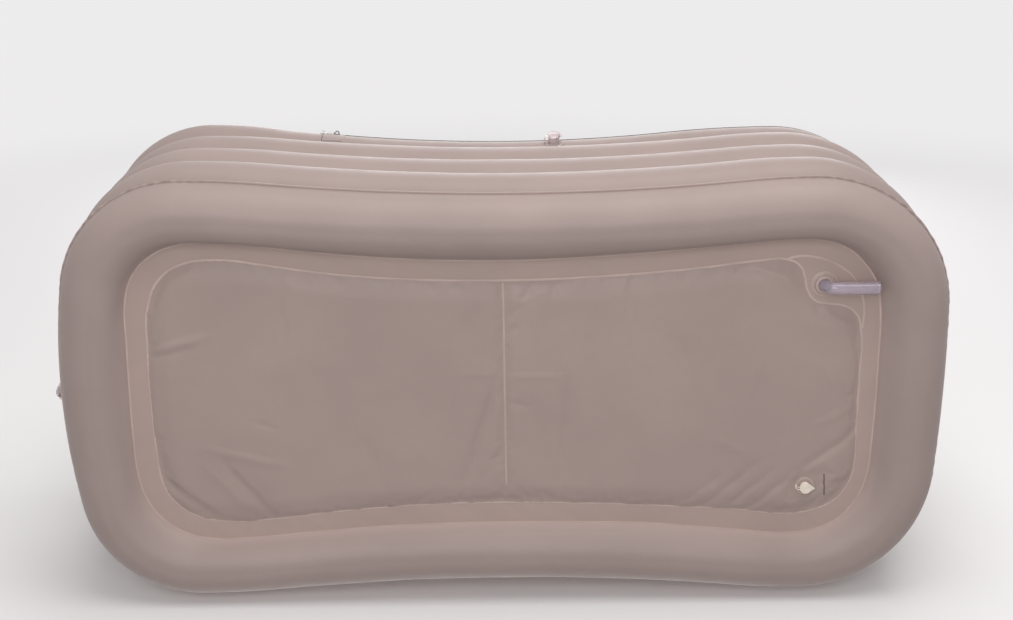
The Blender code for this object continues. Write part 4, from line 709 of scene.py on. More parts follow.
# Creases in the lower film: where each starts and ends, its width, and how far it stands out or sinks in
PAD_FOLDS = [
    (-0.013, -0.030, -0.075, 0.185, 0.010, -0.0042), (0.115, -0.034, 0.105, 0.185, 0.007, -0.0032),
    (-0.390, -0.186, -0.386, -0.089, 0.006, -0.0022), (0.226, -0.222, 0.217, -0.144, 0.006, -0.0024),
    (0.645, 0.074, 0.519, 0.173, 0.011, -0.0030), (0.524, 0.168, 0.441, 0.236, 0.009, -0.0024),
    (0.463, 0.134, 0.357, 0.236, 0.008, -0.0020), (0.497, 0.147, 0.400, 0.236, 0.007, -0.0020),
    (0.410, 0.150, 0.310, 0.232, 0.007, -0.0012), (-0.512, 0.124, -0.425, 0.232, 0.010, -0.0028),
    (-0.545, 0.128, -0.470, 0.215, 0.009, 0.0018), (-0.620, 0.160, -0.520, 0.243, 0.012, -0.0028),
    (-0.450, 0.044, -0.410, 0.059, 0.008, -0.0017), (-0.540, 0.096, -0.392, 0.133, 0.009, 0.0020),
    (-0.634, -0.091, -0.520, -0.123, 0.009, 0.0026), (-0.634, -0.078, -0.550, -0.100, 0.007, -0.0018),
    (-0.388, -0.236, -0.368, -0.206, 0.006, 0.0018), (-0.350, -0.238, -0.338, -0.205, 0.006, -0.0016),
    (-0.300, -0.231, -0.225, -0.212, 0.006, 0.0012), (-0.120, -0.217, -0.035, -0.214, 0.007, 0.0018),
    (0.056, -0.212, 0.074, -0.079, 0.009, 0.0010), (0.086, -0.206, 0.072, -0.088, 0.008, -0.0010),
    (0.014, -0.040, 0.106, -0.039, 0.006, 0.0015), (0.004, 0.010, 0.050, 0.018, 0.006, -0.0016),
    (-0.080, -0.046, -0.012, -0.044, 0.006, 0.0010), (0.112, -0.074, 0.118, -0.028, 0.006, 0.0012),
    (0.436, -0.240, 0.535, -0.210, 0.010, 0.0022), (0.548, -0.165, 0.630, -0.120, 0.010, 0.0022),
    (0.551, -0.071, 0.609, -0.014, 0.016, 0.0014), (0.452, -0.055, 0.446, 0.010, 0.014, 0.0014),
    (0.300, -0.120, 0.330, -0.060, 0.016, -0.0012), (-0.093, -0.100, -0.075, 0.010, 0.012, 0.0009),
    (0.435, 0.160, 0.440, 0.208, 0.006, -0.0014), (0.392, 0.086, 0.445, 0.116, 0.009, 0.0012),
    (-0.250, 0.080, -0.215, 0.190, 0.012, -0.0010), (0.560, 0.060, 0.640, 0.020, 0.010, 0.0014),
]


def cut_into_cells(bm, size, marked=None):
    """Cut a flat outline, or a mesh's marked faces, into square cells, and merge the slivers."""
    low = [min(vert.co[axis] for vert in bm.verts) for axis in (0, 1)]
    high = [max(vert.co[axis] for vert in bm.verts) for axis in (0, 1)]
    for axis in (0, 1):
        normal = (1.0, 0.0, 0.0) if axis == 0 else (0.0, 1.0, 0.0)
        for step in range(1, int((high[axis] - low[axis]) / size) + 1):
            level = low[axis] + step * size
            at = (level, 0.0, 0.0) if axis == 0 else (0.0, level, 0.0)
            geometry = bm.verts[:] + bm.edges[:] + bm.faces[:]
            if marked is not None:
                faces = [face for face in bm.faces if face[marked]]
                geometry = faces + list({part for face in faces for part in (*face.edges, *face.verts)})
            bmesh.ops.bisect_plane(bm, geom=geometry, dist=0.00001, plane_co=at, plane_no=normal)
    cut = list({vert for face in bm.faces if marked is None or face[marked] for vert in face.verts})
    bmesh.ops.remove_doubles(bm, verts=cut, dist=size * (0.3 if marked is None else 0.12))


def settle_cloth(piece, pinned, pressure, slack, frames, cap):
    """Let a piece's film settle as cloth, held at its pinned points, and keep the shape it takes."""
    rest = np.array([vert.co[:] for vert in piece.data.vertices])
    group = piece.vertex_groups.new(name="held")
    group.add([int(index) for index in np.nonzero(pinned)[0]], 1.0, "REPLACE")
    cloth = piece.modifiers.new("settle", "CLOTH")
    cloth.settings.quality = 4
    cloth.settings.mass = 0.25
    cloth.settings.tension_stiffness = 18
    cloth.settings.compression_stiffness = 10
    cloth.settings.shear_stiffness = 6
    cloth.settings.bending_stiffness = 0.25
    cloth.settings.vertex_group_mass = "held"
    cloth.settings.shrink_min = -slack
    cloth.settings.use_pressure = pressure != 0
    cloth.settings.uniform_pressure_force = pressure
    cloth.settings.effector_weights.gravity = 0.0
    cloth.collision_settings.use_collision = False
    cloth.point_cache.frame_end = frames
    scene = bpy.context.scene
    for number in range(1, frames + 1):
        scene.frame_set(number)
    settled = piece.evaluated_get(bpy.context.evaluated_depsgraph_get()).data
    places = np.array([vert.co[:] for vert in settled.vertices])
    piece.modifiers.remove(cloth)
    piece.vertex_groups.clear()
    scene.frame_set(1)
    move = places - rest
    reach = np.linalg.norm(move, axis=1, keepdims=True)
    move *= np.minimum(1.0, cap / np.maximum(reach, 1e-9))
    piece.data.vertices.foreach_set("co", (rest + move).astype(np.float32).ravel())
    piece.data.update()


def folded(x, y):
    """How far the creases move the lower film at a point."""
    height = 0.0
    for x0, y0, x1, y1, width, rise in PAD_FOLDS:
        long_x, long_y = x1 - x0, y1 - y0
        length = math.hypot(long_x, long_y)
        share = ((x - x0) * long_x + (y - y0) * long_y) / length**2
        if -0.1 < share < 1.1:
            off = ((x - x0) * long_y - (y - y0) * long_x) / length + 0.0028 * swell(x, y, length, 0.035)
            if abs(off) < 4 * width:
                fade = min(1.0, max(0.0, (share + 0.1) / 0.3)) * min(1.0, max(0.0, (1.1 - share) / 0.4))
                edge = off / (0.45 * width if off > 0 else width)
                height += rise * fade * math.exp(-(edge**2))
    return height


def eased(share):
    """Height share of a slack film that leaves its weld nearly level and ends level."""
    share = min(1.0, max(0.0, share))
    return share * share * (3 - 2 * share)


def crowned(share):
    """Height share of a soft edge, from 0 at the weld to 1 where the film runs level."""
    share = min(1.0, max(0.0, share))
    return math.sqrt(1 - (1 - share) ** 2.4)


bm = bmesh.new()
held = bm.verts.layers.int.new("held")
bm.faces.new([bm.verts.new(point) for point in outline])
cut_into_cells(bm, PAD_CELL)
rim_edges = [edge for edge in bm.edges if edge.is_boundary]
over = bmesh.ops.duplicate(bm, geom=bm.verts[:] + bm.edges[:] + bm.faces[:])
over_verts = [item for item in over["geom"] if isinstance(item, bmesh.types.BMVert)]
over_edges = [item for item in over["geom"] if isinstance(item, bmesh.types.BMEdge) and item.is_boundary]
lifted = set(over_verts)
under_verts = [vert for vert in bm.verts if vert not in lifted]
for verts, way, height in ((under_verts, -1.0, PAD_BELLY_DROP), (over_verts, 1.0, PAD_TOP_RISE)):
    for vert in verts:
        distance = rim_tree.find(vert.co)[2]
        x, y = vert.co.x, vert.co.y
        past_end = max(0.0, TIE_START_Y - y, y - TIE_END_Y)
        tie_reach = math.hypot(x - TIE_X, past_end)
        tie = math.exp(-((tie_reach / (TOP_TIE_SPREAD if way > 0 else BELLY_TIE_SPREAD)) ** 2))
        start = TOP_EDGE_HALF if way > 0 else BELLY_EDGE_HALF
        rise = crowned(distance / PAD_SHOULDER_WIDTH) if way > 0 else eased(distance / BELLY_SHOULDER_WIDTH)
        lift = start + (height - start) * rise
        lift -= tie * (TOP_TIE_DEPTH if way > 0 else BELLY_TIE_DEPTH) * min(1.0, distance / 0.02)
        from_valve = math.hypot(x - FLOOR_VALVE_X, y - FLOOR_VALVE_Y)
        if way < 0:
            off_valve = min(1.0, max(0.0, (from_valve - 0.024) / 0.015))
            roll = BELLY_ROLL_DEPTH * swell(x, y, 4.0, BELLY_ROLL_SIZE)
            lift += folded(x, y) * min(1.0, distance / 0.012) * off_valve
            lift += roll * min(1.0, distance / 0.03) * off_valve
        vert.co.z = FLOOR_WELD_HEIGHT + way * lift
        by_valve = way < 0 and from_valve < HELD_BY_VALVE
        vert[held] = 1 if distance < HELD_BY_EDGE or tie_reach < HELD_BY_TIE or by_valve else 0
bmesh.ops.bridge_loops(bm, edges=rim_edges + over_edges)
bmesh.ops.recalc_face_normals(bm, faces=bm.faces)
held_flags = np.array([vert[held] for vert in bm.verts])
pad = finish_piece("floor_pad_film", bm, floor_film, "tub", ["floor_pad"], sharp=70)
settle_cloth(pad, held_flags > 0, pressure=1.6, slack=0.016, frames=20, cap=0.0026)


# Pressed welds: narrow flat beads where the films are melted together, paler than the film, and paler
# still towards -Y from a painted highlight. One runs along the base ring's inner side, one round the pad
# and its drain corner, and one across the pad.
WELD_HEIGHT, WELD_LIFT = 0.0011, 0.0001
WELD_WAVER, WELD_WAVER_SIZE, SHADE_SIZE = 0.00012, 0.008, 0.035


def curve_line(drawn, line, closed):
    """Add a line of straight pieces to a curve."""
    spline = drawn.splines.new("POLY")
    spline.points.add(len(line) - 1)
    spline.use_cyclic_u = closed
    for knot, point in zip(spline.points, line):
        knot.co = (*point, 1.0)


def curve_solid(drawn):
    """The closed mesh that a curve with a thickness draws."""
    holder = bpy.data.objects.new("drawn", drawn)
    bpy.context.scene.collection.objects.link(holder)
    bpy.context.view_layer.update()
    mesh = finished_mesh(holder)
    bpy.data.objects.remove(holder, do_unlink=True)
    bm = bmesh.new()
    bm.from_mesh(mesh)
    bpy.data.meshes.remove(mesh)
    bmesh.ops.remove_doubles(bm, verts=bm.verts, dist=0.00001)
    bmesh.ops.recalc_face_normals(bm, faces=bm.faces)
    return bm


def drawn_rod(line, radius, closed=False, sides=2):
    """A round rod along a line of points, as a closed mesh."""
    drawn = bpy.data.curves.new("rod", "CURVE")
    drawn.dimensions = "3D"
    drawn.bevel_depth = radius
    drawn.bevel_resolution = sides
    drawn.use_fill_caps = not closed
    curve_line(drawn, line, closed)
    return curve_solid(drawn)


def weld_bead(name, line, width, shade, closed=False):
    """A weld laid along a line, flattened about the line's own height, with uneven pressed edges; a painted
    highlight makes it paler towards -Y.
    """
    bm = drawn_rod(line, width / 2, closed)
    along_line = KDTree(len(line))
    for index, point in enumerate(line):
        along_line.insert(point, index)
    along_line.balance()
    shades = []
    for vert in bm.verts:
        level = along_line.find(vert.co)[0]
        vert.co.z = level.z + (vert.co.z - level.z) * WELD_HEIGHT / width
        vert.co.z += WELD_WAVER * swell(vert.co.x, vert.co.y, 2.0, WELD_WAVER_SIZE)
        patchy = 0.8 + 0.6 * swell(vert.co.x, vert.co.y, 5.0, SHADE_SIZE)
        # Painted highlight: the weld's paleness grows towards -Y, the side that the overhead lamp lights; the
        # patchy share is the weld's own unevenness
        shades.append(shade * (1.0 - 1.1 * vert.co.y) * patchy)
    return finish_piece(name, bm, sheet_film, "tub", pressed_and_painted_light=np.clip(shades, 0, 1))


inner_weld_line = [point - Vector((0.0, 0.0, WELD_LIFT)) for point in base_weld_line]
weld_bead("base_inner_weld", inner_weld_line, width=0.0050, shade=0.50, closed=True)
pad_line = [Vector((x, y, SHEET_UNDERSIDE)) for x, y, _ in outline]
weld_bead("pad_edge_weld", pad_line, width=0.0044, shade=0.46, closed=True)
DRAIN_CORNER_WELD = [
    (0.500, -0.2540), (0.522, -0.2580), (0.543, -0.2570), (0.575, -0.2470), (0.603, -0.2310),
    (0.621, -0.2130), (0.634, -0.1870), (0.6405, -0.1550), (0.6395, -0.1220),
]


def surface_of(piece):
    """A piece's faces, ready to be met by a ray."""
    verts = [vert.co.copy() for vert in piece.data.vertices]
    return BVHTree.FromPolygons(verts, [list(face.vertices) for face in piece.data.polygons])


def underside(surface, x, y, otherwise):
    """The height of a surface at a point seen from below."""
    hit = surface.ray_cast(Vector((x, y, -0.1)), Vector((0.0, 0.0, 1.0)))[0]
    return hit.z if hit is not None else otherwise


sheet_surface = surface_of(floor_sheet)
corner_line = smooth_loop(DRAIN_CORNER_WELD, False, 10, SHEET_UNDERSIDE)
for point in corner_line:
    point.z = underside(sheet_surface, point.x, point.y, SHEET_UNDERSIDE) - WELD_LIFT
weld_bead("drain_corner_weld", corner_line, width=0.0040, shade=0.45)

PAD_BOTTOM = FLOOR_WELD_HEIGHT - PAD_BELLY_DROP
pad_surface = surface_of(pad)


def pad_underside(x, y):
    """The height of the pad's lower film at a point."""
    return underside(pad_surface, x, y, PAD_BOTTOM)


TIE_STEPS = 60
tie_line = []
for step in range(TIE_STEPS + 1):
    y = TIE_START_Y - 0.001 + (TIE_END_Y - TIE_START_Y) * step / TIE_STEPS
    x = TIE_X - 0.002 + 0.005 * step / TIE_STEPS + 0.0004 * swell(0.0, y, 1.0, 0.05)
    tie_line.append(Vector((x, y, pad_underside(x, y) + 0.0002)))
weld_bead("pad_tie_weld", tie_line, width=0.0040, shade=0.28)

# Printed stroke: a short line of dark ink on the pad beside its valve, with a rounder start. It is
# drawn as a thin raised rod on the film.
STROKE_X, STROKE_Y, STROKE_SLANT, STROKE_LENGTH = 0.5880, 0.1620, 0.003, 0.041
STROKE_STEPS, STROKE_RADIUS, STROKE_PATH_X = 12, 0.0008, 0.589
DOT_Y, DOT_RADIUS, DOT_FLATNESS = 0.1618, 0.0015, 0.4
stroke_line = []
for step in range(STROKE_STEPS + 1):
    x = STROKE_X + STROKE_SLANT * step / STROKE_STEPS
    y = STROKE_Y + STROKE_LENGTH * step / STROKE_STEPS
    stroke_line.append(Vector((x, y, pad_underside(STROKE_PATH_X, y) - 0.0001)))
bm = drawn_rod(stroke_line, STROKE_RADIUS)
dot_place = Matrix.Translation((STROKE_X, DOT_Y, pad_underside(STROKE_PATH_X, STROKE_Y)))
flattened = Matrix.Diagonal((1.0, 1.0, DOT_FLATNESS, 1.0))
bmesh.ops.create_icosphere(bm, subdivisions=2, radius=DOT_RADIUS, matrix=dot_place @ flattened)
ink = bpy.data.materials.new("printed_stroke")
ink.use_nodes = True
ink_shader = ink.node_tree.nodes["Principled BSDF"]
ink_cloud = ink.node_tree.nodes.new("ShaderNodeTexNoise")
ink_cloud.inputs["Scale"].default_value = 900.0
ink_tone = ink.node_tree.nodes.new("ShaderNodeValToRGB")
ink_tone.color_ramp.elements[0].color = (0.020, 0.016, 0.016, 1.0)
ink_tone.color_ramp.elements[1].color = (0.045, 0.036, 0.033, 1.0)
ink_place = ink.node_tree.nodes.new("ShaderNodeTexCoord")
ink.node_tree.links.new(ink_place.outputs["Object"], ink_cloud.inputs["Vector"])
ink.node_tree.links.new(ink_cloud.outputs["Fac"], ink_tone.inputs["Fac"])
ink.node_tree.links.new(ink_tone.outputs["Color"], ink_shader.inputs["Base Color"])
ink_shader.inputs["Roughness"].default_value = 0.5
finish_piece("printed_stroke", bm, ink, "tub")


# Drain: a collar of thick vinyl welded under the floor, a clear hose stub that turns in it, and a
# soft stopper with a knob pressed in from inside.
def rounded(profile, radius, steps=3):
    """An open profile (radius, height) with its corners rounded."""
    line = [Vector(profile[0])]
    for before, here, after in zip(profile, profile[1:], profile[2:]):
        before, here, after = Vector(before), Vector(here), Vector(after)
        cut = min(radius, (here - before).length * 0.48, (after - here).length * 0.48)
        near = here + (before - here).normalized() * cut
        far = here + (after - here).normalized() * cut
        for step in range(steps + 1):
            t = step / steps
            line.append(near * (1 - t) ** 2 + here * 2 * t * (1 - t) + far * t**2)
    return line + [Vector(profile[-1])]


def turned(profile, sides=48):
    """A solid of revolution about +Z from a profile (radius, height)."""
    bm = bmesh.new()
    points = [bm.verts.new((radius, 0.0, height)) for radius, height in profile]
    edges = [bm.edges.new(pair) for pair in zip(points, points[1:])]
    bmesh.ops.spin(
        bm, geom=points + edges, cent=(0.0, 0.0, 0.0), axis=(0.0, 0.0, 1.0),
        angle=math.tau, steps=sides, use_merge=True,
    )
    bmesh.ops.remove_doubles(bm, verts=bm.verts, dist=0.00001)
    bmesh.ops.recalc_face_normals(bm, faces=bm.faces)
    return bm


def add_to(bm, other, place=Matrix.Identity(4)):
    """Add another closed mesh to this one, moved to its place."""
    mesh = bpy.data.meshes.new("added")
    bmesh.ops.transform(other, matrix=place, verts=other.verts)
    other.to_mesh(mesh)
    other.free()
    bm.from_mesh(mesh)
    bpy.data.meshes.remove(mesh)


def moulded_vinyl(name, colour, roughness=0.30, clear=0.0, flecks=0.05, bump=0.10, bend=1.50):
    """Thick soft moulded vinyl: smooth with a faint cloudiness and a slightly uneven skin."""
    vinyl = bpy.data.materials.new(name)
    vinyl.use_nodes = True
    nodes, links = vinyl.node_tree.nodes, vinyl.node_tree.links
    shader = nodes["Principled BSDF"]
    place = nodes.new("ShaderNodeTexCoord")
    cloud = nodes.new("ShaderNodeTexNoise")
    cloud.inputs["Scale"].default_value = 140.0
    cloud.inputs["Detail"].default_value = 4.0
    tone = nodes.new("ShaderNodeValToRGB")
    tone.color_ramp.elements[0].position, tone.color_ramp.elements[1].position = 0.3, 0.7
    tone.color_ramp.elements[0].color = (*[c * (1 - flecks) for c in colour], 1.0)
    tone.color_ramp.elements[1].color = (*[min(1.0, c * (1 + flecks)) for c in colour], 1.0)
    gloss = nodes.new("ShaderNodeMapRange")
    gloss.inputs["To Min"].default_value = roughness - 0.05
    gloss.inputs["To Max"].default_value = roughness + 0.06
    skin = nodes.new("ShaderNodeTexNoise")
    skin.inputs["Scale"].default_value = 420.0
    dent = nodes.new("ShaderNodeBump")
    dent.inputs["Strength"].default_value = bump
    dent.inputs["Distance"].default_value = 0.0008
    links.new(place.outputs["Object"], cloud.inputs["Vector"])
    links.new(place.outputs["Object"], skin.inputs["Vector"])
    links.new(cloud.outputs["Fac"], tone.inputs["Fac"])
    links.new(cloud.outputs["Fac"], gloss.inputs["Value"])
    links.new(tone.outputs["Color"], shader.inputs["Base Color"])
    links.new(gloss.outputs["Result"], shader.inputs["Roughness"])
    links.new(skin.outputs["Fac"], dent.inputs["Height"])
    links.new(dent.outputs["Normal"], shader.inputs["Normal"])
    shader.inputs["IOR"].default_value = bend
    shader.inputs["Transmission Weight"].default_value = clear
    return vinyl


at_drain = Matrix.Translation((DRAIN_X, DRAIN_Y, 0.0))
COLLAR_TOP, COLLAR_BOTTOM = 0.0439, 0.0361
collar_vinyl = moulded_vinyl("collar_vinyl", (0.42, 0.325, 0.295), 0.32)
bm = turned(rounded([
    (0.0119, COLLAR_BOTTOM), (0.0119, COLLAR_TOP), (0.0240, COLLAR_TOP), (0.0240, COLLAR_TOP - 0.0009),
    (0.0222, COLLAR_TOP - 0.0012), (0.0214, COLLAR_TOP - 0.0020), (0.0204, COLLAR_TOP - 0.0012),
    (0.0186, COLLAR_TOP - 0.0014), (0.0172, COLLAR_TOP - 0.0040), (0.0168, COLLAR_BOTTOM + 0.0012),
    (0.0158, COLLAR_BOTTOM), (0.0119, COLLAR_BOTTOM),
], 0.0008), 64)
bmesh.ops.transform(bm, matrix=at_drain, verts=bm.verts)
finish_piece("drain_collar_moulding", bm, collar_vinyl, "tub", ["drain_collar"])

SPOUT_RADIUS, SPOUT_WALL, BEND_RADIUS, SPOUT_REACH = 0.0115, 0.0014, 0.0165, 0.0916
BEND_TOP = COLLAR_BOTTOM - 0.0003
BEND_STEPS, REACH_STEPS = 12, 14
route = [Vector((0.0, 0.0, COLLAR_TOP - 0.0045)), Vector((0.0, 0.0, COLLAR_TOP - 0.0060))]
for step in range(BEND_STEPS + 1):
    turn = math.radians(90 / BEND_STEPS * step)
    x, z = BEND_RADIUS - BEND_RADIUS * math.cos(turn), BEND_TOP - BEND_RADIUS * math.sin(turn)
    route.append(Vector((x, 0.0, z)))
for step in range(1, REACH_STEPS + 1):
    share = step / REACH_STEPS
    x = BEND_RADIUS + (SPOUT_REACH - BEND_RADIUS) * share
    waver, sag = 0.0004 * math.sin(4 * share), 0.0006 * math.sin(math.pi * share)
    route.append(Vector((x, waver, BEND_TOP - BEND_RADIUS - sag)))
bm = drawn_rod(route, SPOUT_RADIUS, sides=6)
ends = [face for face in bm.faces if len(face.verts) > 6]
bmesh.ops.delete(bm, geom=ends, context="FACES_ONLY")
bmesh.ops.recalc_face_normals(bm, faces=bm.faces)
tube_middle = Vector((0.05, 0.0, BEND_TOP - BEND_RADIUS))
straight = [face for face in bm.faces if face.calc_center_median().x > 0.03]
if sum((face.calc_center_median() - tube_middle).dot(face.normal) for face in straight) < 0:
    bmesh.ops.reverse_faces(bm, faces=bm.faces)
bmesh.ops.transform(bm, matrix=at_drain, verts=bm.verts)
hose_vinyl = moulded_vinyl("hose_vinyl", (0.86, 0.80, 0.88), 0.10, 0.86, 0.03, 0.03)
hose = finish_piece("drain_hose_stub", bm, hose_vinyl, "drain_spout", ["drain_spout"])
hose_wall = hose.modifiers.new("hose_wall", "SOLIDIFY")
hose_wall.thickness, hose_wall.offset = SPOUT_WALL, -1.0

STOPPER_SEAT = 0.0462
stopper_vinyl = moulded_vinyl("stopper_vinyl", (0.66, 0.58, 0.52), 0.34)
bm = turned(rounded([
    (0.0, STOPPER_SEAT + 0.0125), (0.0048, STOPPER_SEAT + 0.0122), (0.0058, STOPPER_SEAT + 0.0100),
    (0.0034, STOPPER_SEAT + 0.0066), (0.0036, STOPPER_SEAT + 0.0040), (0.0120, STOPPER_SEAT + 0.0034),
    (0.0136, STOPPER_SEAT + 0.0042), (0.0172, STOPPER_SEAT + 0.0036), (0.0190, STOPPER_SEAT + 0.0014),
    (0.0190, STOPPER_SEAT), (0.0112, STOPPER_SEAT), (0.0108, STOPPER_SEAT - 0.0042),
    (0.0, STOPPER_SEAT - 0.0042),
], 0.0010), 56)
bmesh.ops.transform(bm, matrix=at_drain, verts=bm.verts)
finish_piece("drain_stopper_moulding", bm, stopper_vinyl, "drain_stopper", ["drain_stopper"])


# Air valves: each a soft moulded stem on a flange that is welded to the film, with a cap that plugs
# it, a pointed lifting tab, and two thin ribs that tie the cap to a hinge post.
valve_vinyl = moulded_vinyl("valve_vinyl", (0.74, 0.655, 0.565), 0.30)
clear_valve_vinyl = moulded_vinyl("clear_valve_vinyl", (0.80, 0.725, 0.735), 0.42, 0.70, bend=1.25)


def seat_frame(origin, outward, towards_tab):
    """A valve's own frame: +Z out from the film, and +X towards the cap's tab."""
    z_axis = Vector(outward).normalized()
    y_axis = z_axis.cross(Vector(towards_tab)).normalized()
    return Matrix.Translation(origin) @ Matrix((y_axis.cross(z_axis), y_axis, z_axis)).transposed().to_4x4()


def block(size, centre, bevel):
    """A box with softened edges."""
    bm = bmesh.new()
    bmesh.ops.create_cube(bm, size=1.0, matrix=Matrix.Translation(centre) @ Matrix.Diagonal((*size, 1.0)))
    bmesh.ops.bevel(bm, geom=bm.edges[:], offset=bevel, segments=3, profile=0.5, affect="EDGES", material=-1)
    return bm


def plate(outline_points, bottom, top, bevel):
    """A flat plate with the outline's shape and softened edges."""
    bm = bmesh.new()
    face = bm.faces.new([bm.verts.new((x, y, bottom)) for x, y in outline_points])
    raised = bmesh.ops.extrude_face_region(bm, geom=[face])["geom"]
    raised_verts = [part for part in raised if isinstance(part, bmesh.types.BMVert)]
    bmesh.ops.translate(bm, vec=(0.0, 0.0, top - bottom), verts=raised_verts)
    bmesh.ops.recalc_face_normals(bm, faces=bm.faces)
    edges = [edge for edge in bm.edges if abs(edge.verts[0].co.z - edge.verts[1].co.z) < 1e-6]
    bmesh.ops.bevel(bm, geom=edges, offset=bevel, segments=2, profile=0.5, affect="EDGES", material=-1)
    return bm


def air_valve(
    name, seat, bend_radius, flange, stem, bore, cap, cap_height, plug, height, reach, strap,
    vinyl, foot_film, slot_name,
):
    """One valve: its body stays with the tub, and its cap with tab and ribs turns on the hinge post."""
    flange_top, top = 0.0011, 0.0012 + height
    hinge_height = top - 0.0057
    post_top, sunk = hinge_height - 0.0015, 0.003 if bend_radius else 0.0

    def hugging(mesh):
        """Bend the foot of a piece to the ring that it is welded to."""
        for vert in mesh.verts:
            if bend_radius:
                hug = 1 - min(1.0, max(0.0, (vert.co.z - 0.0012) / 0.003))
                vert.co.z -= hug * (bend_radius - math.sqrt(bend_radius**2 - vert.co.y**2))
        return mesh

    foot = hugging(turned(rounded([
        (stem - 0.001, flange_top), (flange * 0.78, flange_top - 0.0002),
        (flange * 0.83, flange_top + 0.0004), (flange * 0.88, flange_top - 0.0002),
        (flange * 0.93, flange_top + 0.0001), (flange, 0.0005), (flange, 0.0),
        (stem - 0.001, 0.0), (stem - 0.001, flange_top),
    ], 0.0004), 64))
    shares = [math.hypot(vert.co.x, vert.co.y) / flange for vert in foot.verts]
    welded = np.array([0.9 * math.exp(-(((share - 0.83) / 0.05) ** 2)) + 0.10 for share in shares])
    bmesh.ops.transform(foot, matrix=seat, verts=foot.verts)
    finish_piece(name + "_flange", foot, foot_film, "tub", pressed_and_painted_light=np.clip(welded, 0, 1))
    bm = hugging(turned(rounded([
        (0.0, top - 0.0062), (bore, top - 0.0062), (bore, top), (stem, top), (stem, flange_top + 0.0014),
        (stem + 0.0012, flange_top + 0.0002), (stem + 0.0012, 0.0), (0.0, 0.0),
    ], 0.0005), 56))
    add_to(bm, block((0.0030, strap, post_top + sunk), (-reach, 0.0, (post_top - sunk) / 2), 0.0005))
    bmesh.ops.transform(bm, matrix=seat, verts=bm.verts)
    finish_piece(name + "_moulding", bm, vinyl, "tub", [name + "_body"])

    under, over = top + 0.0003, top + 0.0003 + cap_height
    bm = turned(rounded([
        (0.0, over - 0.0004), (cap * 0.30, over - 0.0004), (cap * 0.38, over + 0.0001),
        (cap * 0.46, over - 0.0005), (cap * 0.70, over - 0.0004), (cap * 0.86, over - 0.0001),
        (cap, over - cap_height * 0.45), (cap, under), (plug, under), (plug, under - 0.0022),
        (plug * 0.94, under - 0.0028), (plug * 0.72, under - 0.0050), (0.0, under - 0.0050),
    ], 0.0006), 56)
    tip = cap + 0.0058
    tab = [
        (cap * 0.50, -cap * 0.72), (cap * 0.86, -cap * 0.56), (tip - 0.0030, -0.0026),
        (tip - 0.0008, -0.0012), (tip, 0.0), (tip - 0.0008, 0.0012), (tip - 0.0030, 0.0026),
        (cap * 0.86, cap * 0.56), (cap * 0.50, cap * 0.72),
    ]
    add_to(bm, plate(tab, under + 0.0002, under + 0.0016, 0.0004))
    for side in (-1, 1):
        rib = [
            Vector((-cap + 0.0010, side * strap * 0.30, under + 0.0010)),
            Vector((-cap - (reach - cap) * 0.35, side * strap * 0.31, under + 0.0006)),
            Vector((-cap - (reach - cap) * 0.75, side * strap * 0.32, under - 0.0016)),
            Vector((-reach - 0.0002, side * strap * 0.32, hinge_height + 0.0006)),
        ]
        add_to(bm, drawn_rod(rib, 0.00085))
    hinge_pin = [Vector((-reach, -strap / 2, hinge_height)), Vector((-reach, strap / 2, hinge_height))]
    add_to(bm, drawn_rod(hinge_pin, 0.0012, sides=3))
    bmesh.ops.transform(bm, matrix=seat, verts=bm.verts)
    cap_nodes = [name + "_cap", name + "_strap"]
    finish_piece(name + "_cap_moulding", bm, vinyl, name + "_cap", cap_nodes)


SMALL = dict(
    flange=0.0183, stem=0.0075, bore=0.0045, cap=0.0110, cap_height=0.0030, plug=0.0039,
    reach=0.0168, strap=0.0070,
)
LARGE = dict(
    flange=0.0200, stem=0.0110, bore=0.0075, cap=0.0135, cap_height=0.0062, plug=0.0068,
    reach=0.0185, strap=0.0090,
)
floor_valve_seat = seat_frame((FLOOR_VALVE_X, FLOOR_VALVE_Y, PAD_BOTTOM), (0, 0, -1), (1, 0, 0))
base_valve_seat = seat_frame((-0.79274, 0.0, 0.07829), (-0.945714, 0, 0.325), (0, 1, 0))
wall_valve_seat = seat_frame((0.107, -0.36707, 0.48179), (-0.030877, -0.982365, -0.184407), (1, 0, 0))
air_valve(
    "floor_valve", floor_valve_seat, bend_radius=0.0, height=0.0085,
    vinyl=valve_vinyl, foot_film=floor_film, slot_name="valve_plastic", **SMALL,
)
air_valve(
    "base_valve", base_valve_seat, bend_radius=0.060, height=0.0155,
    vinyl=clear_valve_vinyl, foot_film=tub_film, slot_name="valve_plastic", **SMALL,
)
air_valve(
    "wall_valve", wall_valve_seat, bend_radius=0.0708, height=0.0135,
    vinyl=clear_valve_vinyl, foot_film=tub_film, slot_name="wall_valve_plastic", **LARGE,
)


# Zip: a skirt of film welded round the rim, a woven tape on it, a nylon coil of teeth, the tape sewn
# to the cover, end patches and stops, and a cast slider with a plated pull.
ZIP_LINE_Z = RIM_Z + 0.0169
TEETH_HEIGHT, TAPE_HEIGHT, TAPE_THICKNESS = 0.005, 0.007, 0.0009
TEETH_BOTTOM, TEETH_TOP = ZIP_LINE_Z - TEETH_HEIGHT / 2, ZIP_LINE_Z + TEETH_HEIGHT / 2
SKIRT_BOTTOM, SKIRT_TOP, SKIRT_THICKNESS = 0.4513, 0.5016, 0.0008
FACE_LIFT, TEETH_GAP = 0.0003, 0.0003
SKIRT_SLACK, SKIRT_RIPPLE, SKIRT_WELD_HEIGHT, SKIRT_WELD_SHADE = 0.0009, 0.020, 0.006, 0.75
PATCH_LENGTH, PATCH_OVERHANG, PATCH_THICKNESS, PATCH_LIFT, PATCH_SHADE = 0.050, 0.003, 0.0008, 0.0014, 0.04
